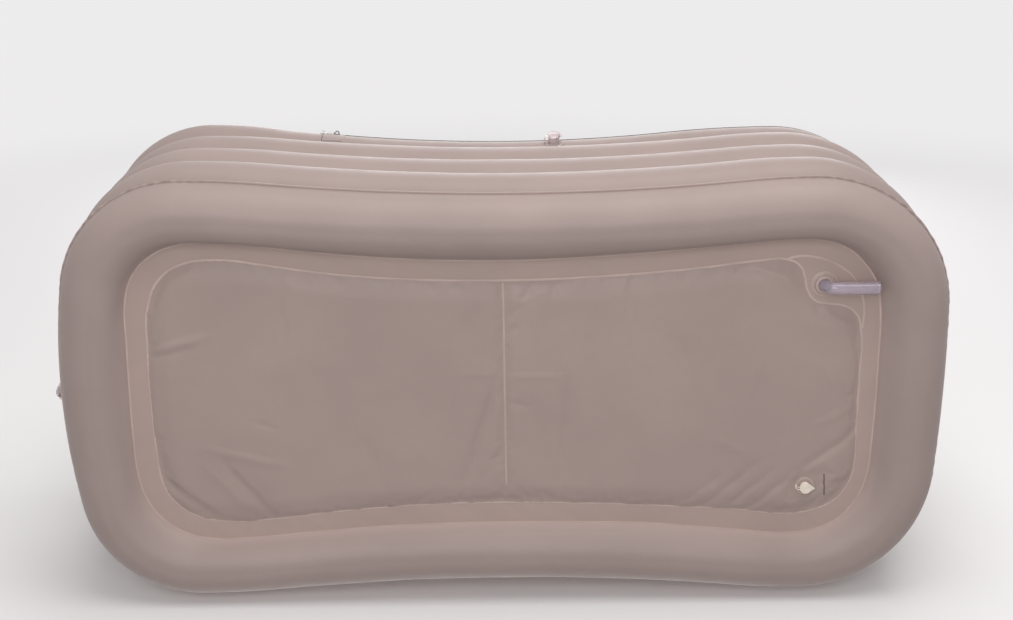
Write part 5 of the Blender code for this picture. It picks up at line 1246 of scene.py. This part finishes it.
ZIP_START_X = 0.362
ZIP_TURN = math.asin(ZIP_START_X / RIM_WAIST_RADIUS)
ZIP_RUN = (
    [(0.0, RIM_WAIST_Y, -ZIP_TURN)]
    + end_arcs(RIM_WAIST_RADIUS, *RIM_FOOT)
    + [(0.0, -RIM_WAIST_Y, -ZIP_TURN)]
)
skirt_film = satin_film("skirt_film", (0.318, 0.252, 0.232), roughness=0.48)


def rim_face_inward(height):
    """How far the rim's outer face lies inside its widest line, at a height."""
    rise = height - RIM_Z
    if rise < 0:
        return bulge_depth(rise)
    half = WALL_THICKNESS / 2
    return half - half * math.sqrt(max(0.0, 1 - (rise / RIM_CROWN_HEIGHT) ** 2))


def rim_face_lean(height):
    """The slope of the rim's outer face from upright, in radians."""
    step = 0.0002
    return math.atan2(rim_face_inward(height + step) - rim_face_inward(height - step), 2 * step)


def on_rim_face(height, lift):
    """The section's point (inward, height) that lies this far off the rim's outer face."""
    lean = rim_face_lean(height)
    return rim_face_inward(height) - lift * math.cos(lean), height + lift * math.sin(lean)


def rim_band(bottom, top, thickness, rows, step, lift=FACE_LIFT, arcs=ZIP_RUN):
    """A strip that lies on the rim's outer face between two heights, closed all round."""
    heights = [bottom + (top - bottom) * k / rows for k in range(rows + 1)]
    section = [on_rim_face(h, lift) for h in heights]
    section += [on_rim_face(h, lift + thickness) for h in reversed(heights)]
    bm = sweep(section, True, RIM_WAIST_HALF_WIDTH, arcs, step, ZIP_TURN)
    bmesh.ops.holes_fill(bm, edges=[edge for edge in bm.edges if edge.is_boundary], sides=0)
    bmesh.ops.recalc_face_normals(bm, faces=bm.faces)
    return bm


bm = rim_band(SKIRT_BOTTOM, SKIRT_TOP, SKIRT_THICKNESS, rows=9, step=0.006)
points = coordinates(bm)
along, inward, corner = rim_plan.locate(points)
pressed_and_painted_light = np.zeros(len(points))
for index, point in enumerate(points):
    free = math.sin(math.pi * min(1.0, max(0.0, (point[2] - SKIRT_BOTTOM) / (SKIRT_TOP - SKIRT_BOTTOM))))
    ripple = 0.45 + swell(along[index], point[2] * 0.4, 6.0, SKIRT_RIPPLE)
    lift = free * SKIRT_SLACK * ripple * (0.5 + corner[index])
    _, way = rim_plan.point(along[index])
    points[index, 0] += way.y * lift
    points[index, 1] -= way.x * lift
    pressed_and_painted_light[index] = SKIRT_WELD_SHADE if point[2] < SKIRT_BOTTOM + SKIRT_WELD_HEIGHT else 0.0
put_back(bm, points)
finish_piece("zip_skirt_film", bm, skirt_film, "tub", ["zip_skirt"], pressed_and_painted_light=pressed_and_painted_light)

patch_arc = [(0.0, RIM_WAIST_Y, -PATCH_LENGTH / RIM_WAIST_RADIUS)]
for name, node, side in (
    ("zip_start_patch_film", "zip_start_patch", 1),
    ("zip_end_patch_film", "zip_end_patch", -1),
):
    bm = rim_band(
        SKIRT_BOTTOM - PATCH_OVERHANG, SKIRT_TOP, PATCH_THICKNESS,
        rows=9, step=0.004, lift=PATCH_LIFT, arcs=patch_arc,
    )
    bmesh.ops.transform(bm, matrix=Matrix.Diagonal((1.0, side, 1.0, 1.0)), verts=bm.verts)
    bmesh.ops.recalc_face_normals(bm, faces=bm.faces)
    shades = np.full(len(bm.verts), PATCH_SHADE)
    finish_piece(name, bm, skirt_film, "tub", [node], pressed_and_painted_light=shades)


def woven_tape(name, colour, thread=0.0011):
    """Woven tape in a herringbone, from its own along and across map."""
    tape = bpy.data.materials.new(name)
    tape.use_nodes = True
    nodes, links = tape.node_tree.nodes, tape.node_tree.links
    shader = nodes["Principled BSDF"]
    laid = nodes.new("ShaderNodeUVMap")
    laid.uv_map = "laid"
    across = nodes.new("ShaderNodeTexWave")
    across.bands_direction = "DIAGONAL"
    across.inputs["Scale"].default_value = 0.31 / thread
    cross = nodes.new("ShaderNodeTexWave")
    cross.bands_direction = "X"
    cross.inputs["Scale"].default_value = 0.45 / thread
    weave = nodes.new("ShaderNodeMath")
    weave.operation = "MULTIPLY"
    tone = nodes.new("ShaderNodeValToRGB")
    tone.color_ramp.elements[0].color = (*[c * 0.62 for c in colour], 1.0)
    tone.color_ramp.elements[1].color = (*[min(1.0, c * 1.30) for c in colour], 1.0)
    raised = nodes.new("ShaderNodeBump")
    raised.inputs["Strength"].default_value = 0.5
    raised.inputs["Distance"].default_value = 0.0004
    links.new(laid.outputs["UV"], across.inputs["Vector"])
    links.new(laid.outputs["UV"], cross.inputs["Vector"])
    links.new(across.outputs["Fac"], weave.inputs[0])
    links.new(cross.outputs["Fac"], weave.inputs[1])
    links.new(weave.outputs["Value"], tone.inputs["Fac"])
    links.new(tone.outputs["Color"], shader.inputs["Base Color"])
    links.new(weave.outputs["Value"], raised.inputs["Height"])
    links.new(raised.outputs["Normal"], shader.inputs["Normal"])
    shader.inputs["Roughness"].default_value = 0.85
    shader.inputs["Sheen Weight"].default_value = 0.25
    return tape


def lay_map(piece, along, across):
    """The piece's own map: distance along it, and across it, in metres."""
    layer = piece.data.uv_layers.new(name="laid")
    corners = np.zeros(len(piece.data.loops), dtype=np.int32)
    piece.data.loops.foreach_get("vertex_index", corners)
    places = np.stack([along[corners], across[corners]], axis=1)
    layer.data.foreach_set("uv", places.astype(np.float32).ravel())


STITCH_LENGTH, STITCH_WIDTH, STITCH_PITCH, STITCH_LIFT = 0.0021, 0.0006, 0.0034, 0.0013
RIM_STITCH_DROP, COVER_STITCH_RISE = 0.0052, 0.0048


def stitch_row(name, places, material, body):
    """Short stitches of thread, one at each place, each along its place's +X and out along its +Y."""
    stitch = bmesh.new()
    size = Matrix.Diagonal((STITCH_LENGTH, STITCH_WIDTH, STITCH_WIDTH, 1.0))
    bmesh.ops.create_cube(stitch, size=1.0, matrix=size)
    ends = [vert for vert in stitch.verts if vert.co.y > 0]
    bmesh.ops.transform(stitch, matrix=Matrix.Diagonal((0.62, 1.0, 0.7, 1.0)), verts=ends)
    stitch_mesh = bpy.data.meshes.new("stitch")
    stitch.to_mesh(stitch_mesh)
    stitch.free()
    row = bmesh.new()
    for at in places:
        stitch_mesh.transform(at)
        row.from_mesh(stitch_mesh)
        stitch_mesh.transform(at.inverted())
    bpy.data.meshes.remove(stitch_mesh)
    return finish_piece(name, row, material, body, sharp=30)


tape_weave = woven_tape("tape_weave", (0.20, 0.172, 0.160))
for name, node, bottom, body in (
    ("rim_zip_tape", "zip_rim_tape", TEETH_BOTTOM - TEETH_GAP - TAPE_HEIGHT, "tub"),
    ("cover_zip_tape", "zip_cover_tape", TEETH_TOP + TEETH_GAP, "cover"),
):
    bm = rim_band(bottom, bottom + TAPE_HEIGHT, TAPE_THICKNESS, rows=4, step=0.008)
    points = coordinates(bm)
    piece = finish_piece(name, bm, tape_weave, body, [node])
    along, inward, corner = rim_plan.locate(points)
    lay_map(piece, (along + 1.0) % rim_plan.length, points[:, 2])

ZIP_START_ALONG = -ZIP_TURN * RIM_WAIST_RADIUS
foot_length = Plan(RIM_WAIST_HALF_WIDTH, end_arcs(RIM_WAIST_RADIUS, *RIM_FOOT)).length
ZIP_END_ALONG = foot_length - ZIP_START_ALONG
TOOTH_PITCH, TOOTH_WIDTH, TOOTH_DEPTH, TOOTH_HEIGHT, TOOTH_BEVEL = 0.0030, 0.00125, 0.0023, 0.0031, 0.0005
TOOTH_OFFSET, TOOTH_LEAN = 0.0009, 0.16


def rim_frame(along, height, lift=0.0):
    """A frame on the rim's face: +X back along the zip towards its start, +Y outwards, +Z upwards."""
    point, way = rim_plan.point(along, rim_face_inward(height))
    lean = rim_face_lean(height)
    outward = Vector((way.y, -way.x, 0.0)) * math.cos(lean) + Vector((0.0, 0.0, math.sin(lean)))
    point = point + Vector((0.0, 0.0, height)) + outward * lift
    return Matrix.Translation(point) @ Matrix((-way, outward, (-way).cross(outward))).transposed().to_4x4()


# A painted shadow on each end patch: a dark line standing for the shade in the gap under the patch's
# free edge. It runs down beside the patch's end and then along above the rim's groove.
PATCH_LINE_INSET, PATCH_LINE_HEIGHT, PATCH_LINE_LENGTH, PATCH_LINE_CLIMB = 0.0060, 0.4636, 0.040, 0.0045
PATCH_LINE_RADIUS, PATCH_LINE_LIFT, PATCH_LINE_STEPS = 0.0008, 0.0020, 12
# Painted shadow: a near-black film colour for the shade under the patch's free edge
patch_shadow_film = satin_film("patch_shadow_film", (0.094, 0.070, 0.063), roughness=0.50)
patch_shadow_line = []
for step in range(PATCH_LINE_STEPS):
    height = SKIRT_TOP - (SKIRT_TOP - PATCH_LINE_HEIGHT) * step / PATCH_LINE_STEPS
    patch_shadow_line.append(rim_frame(ZIP_START_ALONG + PATCH_LINE_INSET, height, PATCH_LINE_LIFT).translation)
for step in range(PATCH_LINE_STEPS + 1):
    inset = PATCH_LINE_INSET + PATCH_LINE_LENGTH * step / PATCH_LINE_STEPS
    height = PATCH_LINE_HEIGHT + PATCH_LINE_CLIMB * step / PATCH_LINE_STEPS
    patch_shadow_line.append(rim_frame(ZIP_START_ALONG + inset, height, PATCH_LINE_LIFT).translation)
for name, side in (("zip_start_patch_shadow", 1), ("zip_end_patch_shadow", -1)):
    bm = drawn_rod(patch_shadow_line, PATCH_LINE_RADIUS)
    bmesh.ops.transform(bm, matrix=Matrix.Diagonal((1.0, side, 1.0, 1.0)), verts=bm.verts)
    bmesh.ops.recalc_face_normals(bm, faces=bm.faces)
    finish_piece(name, bm, patch_shadow_film, "tub", pressed_and_painted_light=np.zeros(len(bm.verts)))

# Zip coil: a nylon coil sewn to both tapes, shown as single teeth that lean in turn to one side and
# the other, with a row of stitches of thread along each tape.
tooth = bmesh.new()
tooth_place = Matrix.Translation((0.0, TOOTH_DEPTH / 2 + FACE_LIFT, 0.0))
tooth_size = Matrix.Diagonal((TOOTH_WIDTH, TOOTH_DEPTH, TOOTH_HEIGHT, 1.0))
bmesh.ops.create_cube(tooth, size=1.0, matrix=tooth_place @ tooth_size)
outer_edges = [edge for edge in tooth.edges if min(vert.co.y for vert in edge.verts) > TOOTH_DEPTH / 2]
bmesh.ops.bevel(
    tooth, geom=outer_edges, offset=TOOTH_BEVEL, segments=1, profile=0.5, affect="EDGES", material=-1
)
tooth_mesh = bpy.data.meshes.new("tooth")
tooth.to_mesh(tooth_mesh)
tooth.free()
bm = bmesh.new()
count = int((ZIP_END_ALONG - ZIP_START_ALONG) / TOOTH_PITCH)
for index in range(2 * count):
    side = 1 if index % 2 else -1
    frame_here = rim_frame(ZIP_START_ALONG + TOOTH_PITCH * (index + 1) / 2, ZIP_LINE_Z + side * TOOTH_OFFSET)
    frame_here = frame_here @ Matrix.Rotation(side * TOOTH_LEAN, 4, "Y")
    tooth_mesh.transform(frame_here)
    bm.from_mesh(tooth_mesh)
    tooth_mesh.transform(frame_here.inverted())
bpy.data.meshes.remove(tooth_mesh)
coil_nylon = moulded_vinyl("coil_nylon", (0.085, 0.076, 0.073), 0.38)
thread = moulded_vinyl("thread", (0.30, 0.262, 0.240), 0.75, bump=0.4)
stitch_count = int((ZIP_END_ALONG - ZIP_START_ALONG) / STITCH_PITCH) - 1
for name, height, body in (
    ("rim_tape_stitches", TEETH_BOTTOM - RIM_STITCH_DROP, "tub"),
    ("cover_tape_stitches", TEETH_TOP + COVER_STITCH_RISE, "cover"),
):
    stitches = [
        rim_frame(ZIP_START_ALONG + STITCH_PITCH * (index + 1), height, STITCH_LIFT)
        for index in range(stitch_count)
    ]
    stitch_row(name, stitches, thread, body)
finish_piece("zip_coil_teeth", bm, coil_nylon, "tub", ["zip_teeth"], sharp=30)


def cast_metal(name, colour, roughness, metallic):
    """Plated casting: fine brushed streaks, with gloss that varies where it is rubbed."""
    metal = bpy.data.materials.new(name)
    metal.use_nodes = True
    nodes, links = metal.node_tree.nodes, metal.node_tree.links
    shader = nodes["Principled BSDF"]
    place = nodes.new("ShaderNodeTexCoord")
    stretch = nodes.new("ShaderNodeMapping")
    stretch.inputs["Scale"].default_value = (120.0, 900.0, 900.0)
    streaks = nodes.new("ShaderNodeTexNoise")
    streaks.inputs["Scale"].default_value = 1.0
    streaks.inputs["Detail"].default_value = 3.0
    tone = nodes.new("ShaderNodeValToRGB")
    tone.color_ramp.elements[0].color = (*[c * 0.82 for c in colour], 1.0)
    tone.color_ramp.elements[1].color = (*[min(1.0, c * 1.12) for c in colour], 1.0)
    gloss = nodes.new("ShaderNodeMapRange")
    gloss.inputs["To Min"].default_value = roughness - 0.07
    gloss.inputs["To Max"].default_value = roughness + 0.09
    dent = nodes.new("ShaderNodeBump")
    dent.inputs["Strength"].default_value = 0.08
    dent.inputs["Distance"].default_value = 0.0003
    links.new(place.outputs["Object"], stretch.inputs["Vector"])
    links.new(stretch.outputs["Vector"], streaks.inputs["Vector"])
    links.new(streaks.outputs["Fac"], tone.inputs["Fac"])
    links.new(streaks.outputs["Fac"], gloss.inputs["Value"])
    links.new(streaks.outputs["Fac"], dent.inputs["Height"])
    links.new(tone.outputs["Color"], shader.inputs["Base Color"])
    links.new(gloss.outputs["Result"], shader.inputs["Roughness"])
    links.new(dent.outputs["Normal"], shader.inputs["Normal"])
    shader.inputs["Metallic"].default_value = metallic
    return metal


bright_plate = cast_metal("bright_plate", (0.46, 0.46, 0.47), 0.34, 1.0)
dark_cast = cast_metal("dark_cast", (0.085, 0.080, 0.080), 0.36, 0.85)
STOP_INSET = 0.010
for name, node, along_stop in (
    ("zip_start_clamp", "zip_start_stop", ZIP_START_ALONG + STOP_INSET),
    ("zip_end_clamp", "zip_end_stop", ZIP_END_ALONG - STOP_INSET),
):
    bm = block((0.0040, 0.0012, 0.0070), (0.0, 0.0036, 0.0), 0.0004)
    for side in (-1, 1):
        add_to(bm, block((0.0040, 0.0030, 0.0011), (0.0, 0.0022, side * 0.0031), 0.0003))
    bmesh.ops.transform(bm, matrix=rim_frame(along_stop, ZIP_LINE_Z), verts=bm.verts)
    finish_piece(name, bm, bright_plate, "tub", [node])

# Zip slider: one cast plate over the coil, with a flange along each side and a round crown that
# holds the pull. The stops above are clamped on the coil.
SLIDER_X = 0.330
CROWN_HALF_LENGTH, CROWN_FOOT, CROWN_RISE, CROWN_RADIUS, CROWN_STEPS = 0.0044, 0.0031, 0.0057, 0.0011, 10
slider_frame = rim_frame(-RIM_WAIST_RADIUS * math.asin(SLIDER_X / RIM_WAIST_RADIUS), ZIP_LINE_Z)
shell_outline = [
    (-0.0062, -0.0034), (-0.0054, -0.0041), (0.0000, -0.0044), (0.0045, -0.0052), (0.0060, -0.0046),
    (0.0063, -0.0030), (0.0063, 0.0030), (0.0060, 0.0046), (0.0045, 0.0052), (0.0000, 0.0044),
    (-0.0054, 0.0041), (-0.0062, 0.0034),
]
stand_up = Matrix.Rotation(math.radians(90), 4, "X")
bm = plate(shell_outline, -0.0033, -0.0027, 0.0002)
bmesh.ops.transform(bm, matrix=stand_up, verts=bm.verts)
for side in (-1, 1):
    add_to(bm, block((0.0110, 0.0015, 0.0013), (0.0, 0.00245, side * 0.0040), 0.0004))
crown_line = []
for step in range(CROWN_STEPS + 1):
    turn = math.radians(180 * step / CROWN_STEPS)
    rise = CROWN_FOOT + CROWN_RISE * math.sin(turn)
    crown_line.append(Vector((CROWN_HALF_LENGTH * math.cos(turn), rise, 0.0)))
add_to(bm, drawn_rod(crown_line, CROWN_RADIUS))
bmesh.ops.transform(bm, matrix=slider_frame, verts=bm.verts)
finish_piece("zip_slider_casting", bm, dark_cast, "zip_slider", ["zip_slider"], sharp=50)

# Zip pull: a tongue stamped from plated sheet, with softened edges and a window at its root that
# goes over the slider's crown.
PULL_HEIGHT, PULL_HALF_THICKNESS, PULL_BEVEL = 0.0067, 0.0003, 0.00025
tongue = [
    (-0.0005, -0.0029), (0.0120, -0.0031), (0.0200, -0.0033), (0.0270, -0.0030), (0.0292, -0.0020),
    (0.0300, 0.0), (0.0292, 0.0020), (0.0270, 0.0030), (0.0200, 0.0033), (0.0120, 0.0031), (-0.0005, 0.0029),
]
window = [(0.0004, 0.0017), (0.0060, 0.0018), (0.0060, -0.0018), (0.0004, -0.0017)]
drawn = bpy.data.curves.new("tongue", "CURVE")
drawn.dimensions = "2D"
drawn.fill_mode = "BOTH"
drawn.extrude, drawn.bevel_depth, drawn.bevel_resolution = PULL_HALF_THICKNESS, PULL_BEVEL, 1
for outline_points in (tongue, window):
    curve_line(drawn, [(x, y, 0.0) for x, y in outline_points], True)
bm = curve_solid(drawn)
pull_place = slider_frame @ Matrix.Translation((0.0, PULL_HEIGHT, 0.0)) @ stand_up
bmesh.ops.transform(bm, matrix=pull_place, verts=bm.verts)
finish_piece("zip_pull_tongue", bm, bright_plate, "zip_pull", ["zip_pull"], sharp=50)


# Cover: one sheet of the same film from the zip over the rim and flat across the tub, with an open
# round neck at the head end. It is pulled tight by the zip, with small pulls at the neck's ends.
COVER_BOTTOM = ZIP_LINE_Z + TEETH_HEIGHT / 2 + TAPE_HEIGHT + 0.0006
COVER_LAND, COVER_THICKNESS, NECK_DEPTH = 0.015, 0.0010, 0.105
cover_film = satin_film("cover_film", (0.330, 0.252, 0.231), roughness=0.46)

COVER_CREST = RIM_Z + RIM_CROWN_HEIGHT + FACE_LIFT
DRAPE_TOP, DRAPE_STEPS, LAND_STEPS, COVER_CELL = RIM_Z + RIM_CROWN_HEIGHT * 0.992, 14, 3, 0.012
# How the sheet dips across the bath, and the pulls at the neck's ends and along the rim
FREE_START, DIP_START, DIP_WIDTH, DIP_DEPTH = 0.0765, 0.078, 0.10, 0.005
PULL_X, PULL_Y, PULL_DEPTH_AT_NECK, PULL_REACH = -0.30, 0.29, 0.0016, 0.16
EDGE_PULL_DEPTH, EDGE_PULL_SIZE, EDGE_PULL_PLACE, EDGE_PULL_SPREAD = 0.0009, 0.022, 0.085, 0.03
COVER_ROLL_DEPTH, COVER_ROLL_SIZE = 0.0012, 0.16
draped = []
for step in range(DRAPE_STEPS + 1):
    share = 1 - (1 - step / DRAPE_STEPS) ** 2.2
    draped.append(on_rim_face(COVER_BOTTOM + (DRAPE_TOP - COVER_BOTTOM) * share, FACE_LIFT))
for step in range(LAND_STEPS + 1):
    draped.append((WALL_THICKNESS / 2 + COVER_LAND * step / LAND_STEPS, COVER_CREST))
bm = sweep(draped, False, RIM_WAIST_HALF_WIDTH, ZIP_RUN, 0.010, ZIP_TURN)
row = bm.verts.layers.int["row"]
level = bm.faces.layers.int.new("level")
land_edges = [edge for edge in bm.edges if all(vert[row] == len(draped) - 1 for vert in edge.verts)]
land_verts = {vert for edge in land_edges for vert in edge.verts}
ends = [vert for vert in land_verts if sum(edge in land_edges for edge in vert.link_edges) == 1]
start, end = sorted(ends, key=lambda vert: vert.co.y)
start_place = start.co.copy()
half_chord = abs(start.co.y)
neck_radius = (half_chord**2 + NECK_DEPTH**2) / (2 * NECK_DEPTH)
neck_spread = math.asin(half_chord / neck_radius)


def neck_point(share, side_x, height):
    """A point of the neck opening's round edge, from the -Y side to the +Y side."""
    turn = neck_spread * (2 * share - 1)
    x = side_x + NECK_DEPTH - neck_radius + neck_radius * math.cos(turn)
    return Vector((x, neck_radius * math.sin(turn), height))


NECK_POINTS = 60
neck = [start]
for step in range(1, NECK_POINTS):
    neck.append(bm.verts.new(neck_point(step / NECK_POINTS, start.co.x, COVER_CREST)))
neck.append(end)
neck_edges = [bm.edges.new(pair) for pair in zip(neck, neck[1:])]
for face in bmesh.ops.contextual_create(bm, geom=land_edges + neck_edges)["faces"]:
    face[level] = 1
cut_into_cells(bm, COVER_CELL, level)
points = coordinates(bm)
along, inward, corner = rim_plan.locate(points)
for index, (x, y, z) in enumerate(points):
    inside = max(0.0, min(1.0, (inward[index] - DIP_START) / DIP_WIDTH))
    drop = DIP_DEPTH * inside * (1 - (y / 0.31) ** 2) * max(0.0, min(1.0, (x + 0.40) / 0.30))
    ripple = 0.0
    for side in (-1, 1):
        away = math.hypot(x - PULL_X, y - side * PULL_Y)
        bearing = math.atan2(y - side * PULL_Y, x - PULL_X)
        wave = PULL_DEPTH_AT_NECK * math.sin(bearing * 17 + 2 * side)
        ripple += wave * math.exp(-(away / PULL_REACH) ** 2) * min(1.0, away / 0.03)
    edge_wave = EDGE_PULL_DEPTH * swell(along[index], inward[index] * 0.25, 4.0, EDGE_PULL_SIZE)
    edge_pull = edge_wave * math.exp(-((inward[index] - EDGE_PULL_PLACE) / EDGE_PULL_SPREAD) ** 2)
    if inward[index] > FREE_START:
        roll = COVER_ROLL_DEPTH * swell(x, y, 8.0, COVER_ROLL_SIZE)
        free = min(1.0, (inward[index] - FREE_START) / 0.02)
        points[index, 2] += -drop + (ripple + edge_pull + roll) * free
put_back(bm, points)
bmesh.ops.recalc_face_normals(bm, faces=bm.faces)
if sum(face.normal.z * face.calc_area() for face in bm.faces) < 0:
    bmesh.ops.reverse_faces(bm, faces=bm.faces)
cover = finish_piece("cover_sheet", bm, cover_film, "cover", ["cover"], sharp=60)
wall = cover.modifiers.new("film_thickness", "SOLIDIFY")
wall.thickness = COVER_THICKNESS
wall.offset = 1.0

# Neck binding: a woven tape folded over the edge of the cover's neck opening, and sewn to the film
# with one row of stitches.
HEM_RADIUS, HEM_SETBACK, HEM_FLATNESS, HEM_STEPS = 0.0025, 0.006, 0.62, 120
cover_skin = surface_of(cover)


def cover_height(x, y):
    """The height of the cover's sheet at a point seen from above."""
    hit = cover_skin.ray_cast(Vector((x, y, 0.8)), Vector((0.0, 0.0, -1.0)))[0]
    return hit.z if hit is not None else COVER_CREST


hem_line = []
for step in range(HEM_STEPS + 1):
    point = neck_point(0.004 + 0.992 * step / HEM_STEPS, start_place.x + HEM_SETBACK, 0.0)
    point.z = cover_height(point.x, point.y) + COVER_THICKNESS + HEM_RADIUS * HEM_FLATNESS
    hem_line.append(point)
bm = drawn_rod(hem_line, HEM_RADIUS, sides=3)
hem_tree = KDTree(len(hem_line))
for index, point in enumerate(hem_line):
    hem_tree.insert(point, index)
hem_tree.balance()
hem_step = (hem_line[61] - hem_line[60]).length
along_hem, round_hem = [], []
for vert in bm.verts:
    near, index, _ = hem_tree.find(vert.co)
    along_hem.append(index * hem_step)
    round_hem.append(math.atan2(vert.co.z - near.z, (vert.co - near).x + 1e-9) * HEM_RADIUS)
    vert.co.z = near.z + (vert.co.z - near.z) * HEM_FLATNESS
hem_weave = woven_tape("hem_weave", (0.225, 0.188, 0.172), 0.0009)
hem = finish_piece("cover_binding", bm, hem_weave, "cover", ["cover_hem"], sharp=70)
lay_map(hem, np.array(along_hem), np.array(round_hem))
hem_stitches = []
for index in range(2, len(hem_line) - 2):
    for part in range(2):
        point = hem_line[index].lerp(hem_line[index + 1], part / 2)
        way = (hem_line[index + 1] - hem_line[index]).normalized()
        up = Vector((0.0, 0.0, 1.0))
        side = way.cross(up).normalized()
        place = point + up * HEM_RADIUS * 0.60 - side * HEM_RADIUS * 0.25
        facing = Matrix((way, up, way.cross(up))).transposed().to_4x4()
        hem_stitches.append(Matrix.Translation(place) @ facing)
binding_stitches = stitch_row("binding_stitches", hem_stitches, thread, "cover")


# Head pillow: a soft air cushion of the same film against the rim's inner face at the head end. It
# is full in the middle and pinched at its welded edge.
PILLOW_WIDTH, PILLOW_HEIGHT, PILLOW_THICKNESS, PILLOW_DROP = 0.360, 0.130, 0.060, 0.014
PILLOW_SETBACK, PILLOW_ROUND, PILLOW_CELL, PILLOW_FILL = 0.004, 1.37, 0.0045, 0.85
EDGE_STEPS, EDGE_REACH, EDGE_HALF_WIDTH, EDGE_SINK, EDGE_RADIUS = 144, 0.30, 0.18, 0.0004, 0.0013
EDGE_CRINKLE, EDGE_CRINKLE_SIZE, EDGE_SHADE = 0.0005, 0.012, 0.9
low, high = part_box("head_pillow")
pillow_middle = (low.x + high.x) / 2 - PILLOW_SETBACK
bm = bmesh.new()
bmesh.ops.create_cube(bm, size=1.0)
bmesh.ops.subdivide_edges(bm, edges=bm.edges, cuts=9, use_grid_fill=True)
lengthwise = [edge for edge in bm.edges if abs((edge.verts[0].co - edge.verts[1].co).y) > 0.01]
bmesh.ops.subdivide_edges(bm, edges=lengthwise, cuts=2)
for vert in bm.verts:
    across, upright = 2 * abs(vert.co.y), 2 * abs(vert.co.z)
    edge = max(across, upright) ** 4
    vert.co.x *= 1 - 0.80 * edge
    pull_in = 0.045 * (1 - across**2) * upright**3
    vert.co.z *= 1 - pull_in
    vert.co.y *= 1 - 0.03 * (1 - upright**2) * across**3
pillow_size = Matrix.Diagonal((PILLOW_THICKNESS, PILLOW_WIDTH, PILLOW_HEIGHT, 1.0))
bmesh.ops.transform(bm, matrix=pillow_size, verts=bm.verts)
for vert in bm.verts:
    vert.co.x += PILLOW_ROUND - math.sqrt(PILLOW_ROUND**2 - vert.co.y**2)
bmesh.ops.translate(bm, vec=(pillow_middle, 0.0, RIM_Z - PILLOW_DROP), verts=bm.verts)
bmesh.ops.recalc_face_normals(bm, faces=bm.faces)
pillow_film = satin_film("pillow_film", (0.356, 0.272, 0.248), roughness=0.44)
pillow = finish_piece("head_pillow_cushion", bm, pillow_film, "tub", ["head_pillow"], sharp=80)
remesh = pillow.modifiers.new("remesh", "REMESH")
remesh.mode, remesh.voxel_size = "VOXEL", PILLOW_CELL
bpy.context.view_layer.update()
even = finished_mesh(pillow)
pillow.modifiers.remove(remesh)
pillow.data = even
held_back = np.array([
    vert.co.x < pillow_middle + PILLOW_SETBACK + PILLOW_ROUND - math.sqrt(PILLOW_ROUND**2 - vert.co.y**2)
    for vert in even.vertices
])
settle_cloth(pillow, held_back, pressure=4.0, slack=0.03, frames=18, cap=0.006)
pillow.data.shade_smooth()
soften = pillow.modifiers.new("soften", "SUBSURF")
soften.levels = soften.render_levels = 1

# The cushion's pressed edge, where its two films are welded together all round
pillow_skin = surface_of(pillow)
edge_line = []
for step in range(EDGE_STEPS):
    turn = math.tau * step / EDGE_STEPS
    y, z = EDGE_REACH * math.cos(turn), RIM_Z - PILLOW_DROP + EDGE_REACH * math.sin(turn)
    x = pillow_middle + PILLOW_ROUND - math.sqrt(PILLOW_ROUND**2 - min(EDGE_HALF_WIDTH, abs(y)) ** 2)
    way = Vector((0.0, -math.cos(turn), -math.sin(turn)))
    hit = pillow_skin.ray_cast(Vector((x, y, z)), way)[0]
    if hit is not None:
        hit.x = pillow_middle + PILLOW_ROUND - math.sqrt(PILLOW_ROUND**2 - hit.y**2)
        edge_line.append(hit - way * EDGE_SINK)
edge = drawn_rod(edge_line, EDGE_RADIUS, closed=True)
for vert in edge.verts:
    vert.co.z += EDGE_CRINKLE * swell(vert.co.x, vert.co.y, vert.co.z, EDGE_CRINKLE_SIZE)
shades = np.full(len(edge.verts), EDGE_SHADE)
finish_piece("pillow_pressed_edge", edge, pillow_film, "tub", pressed_and_painted_light=shades)
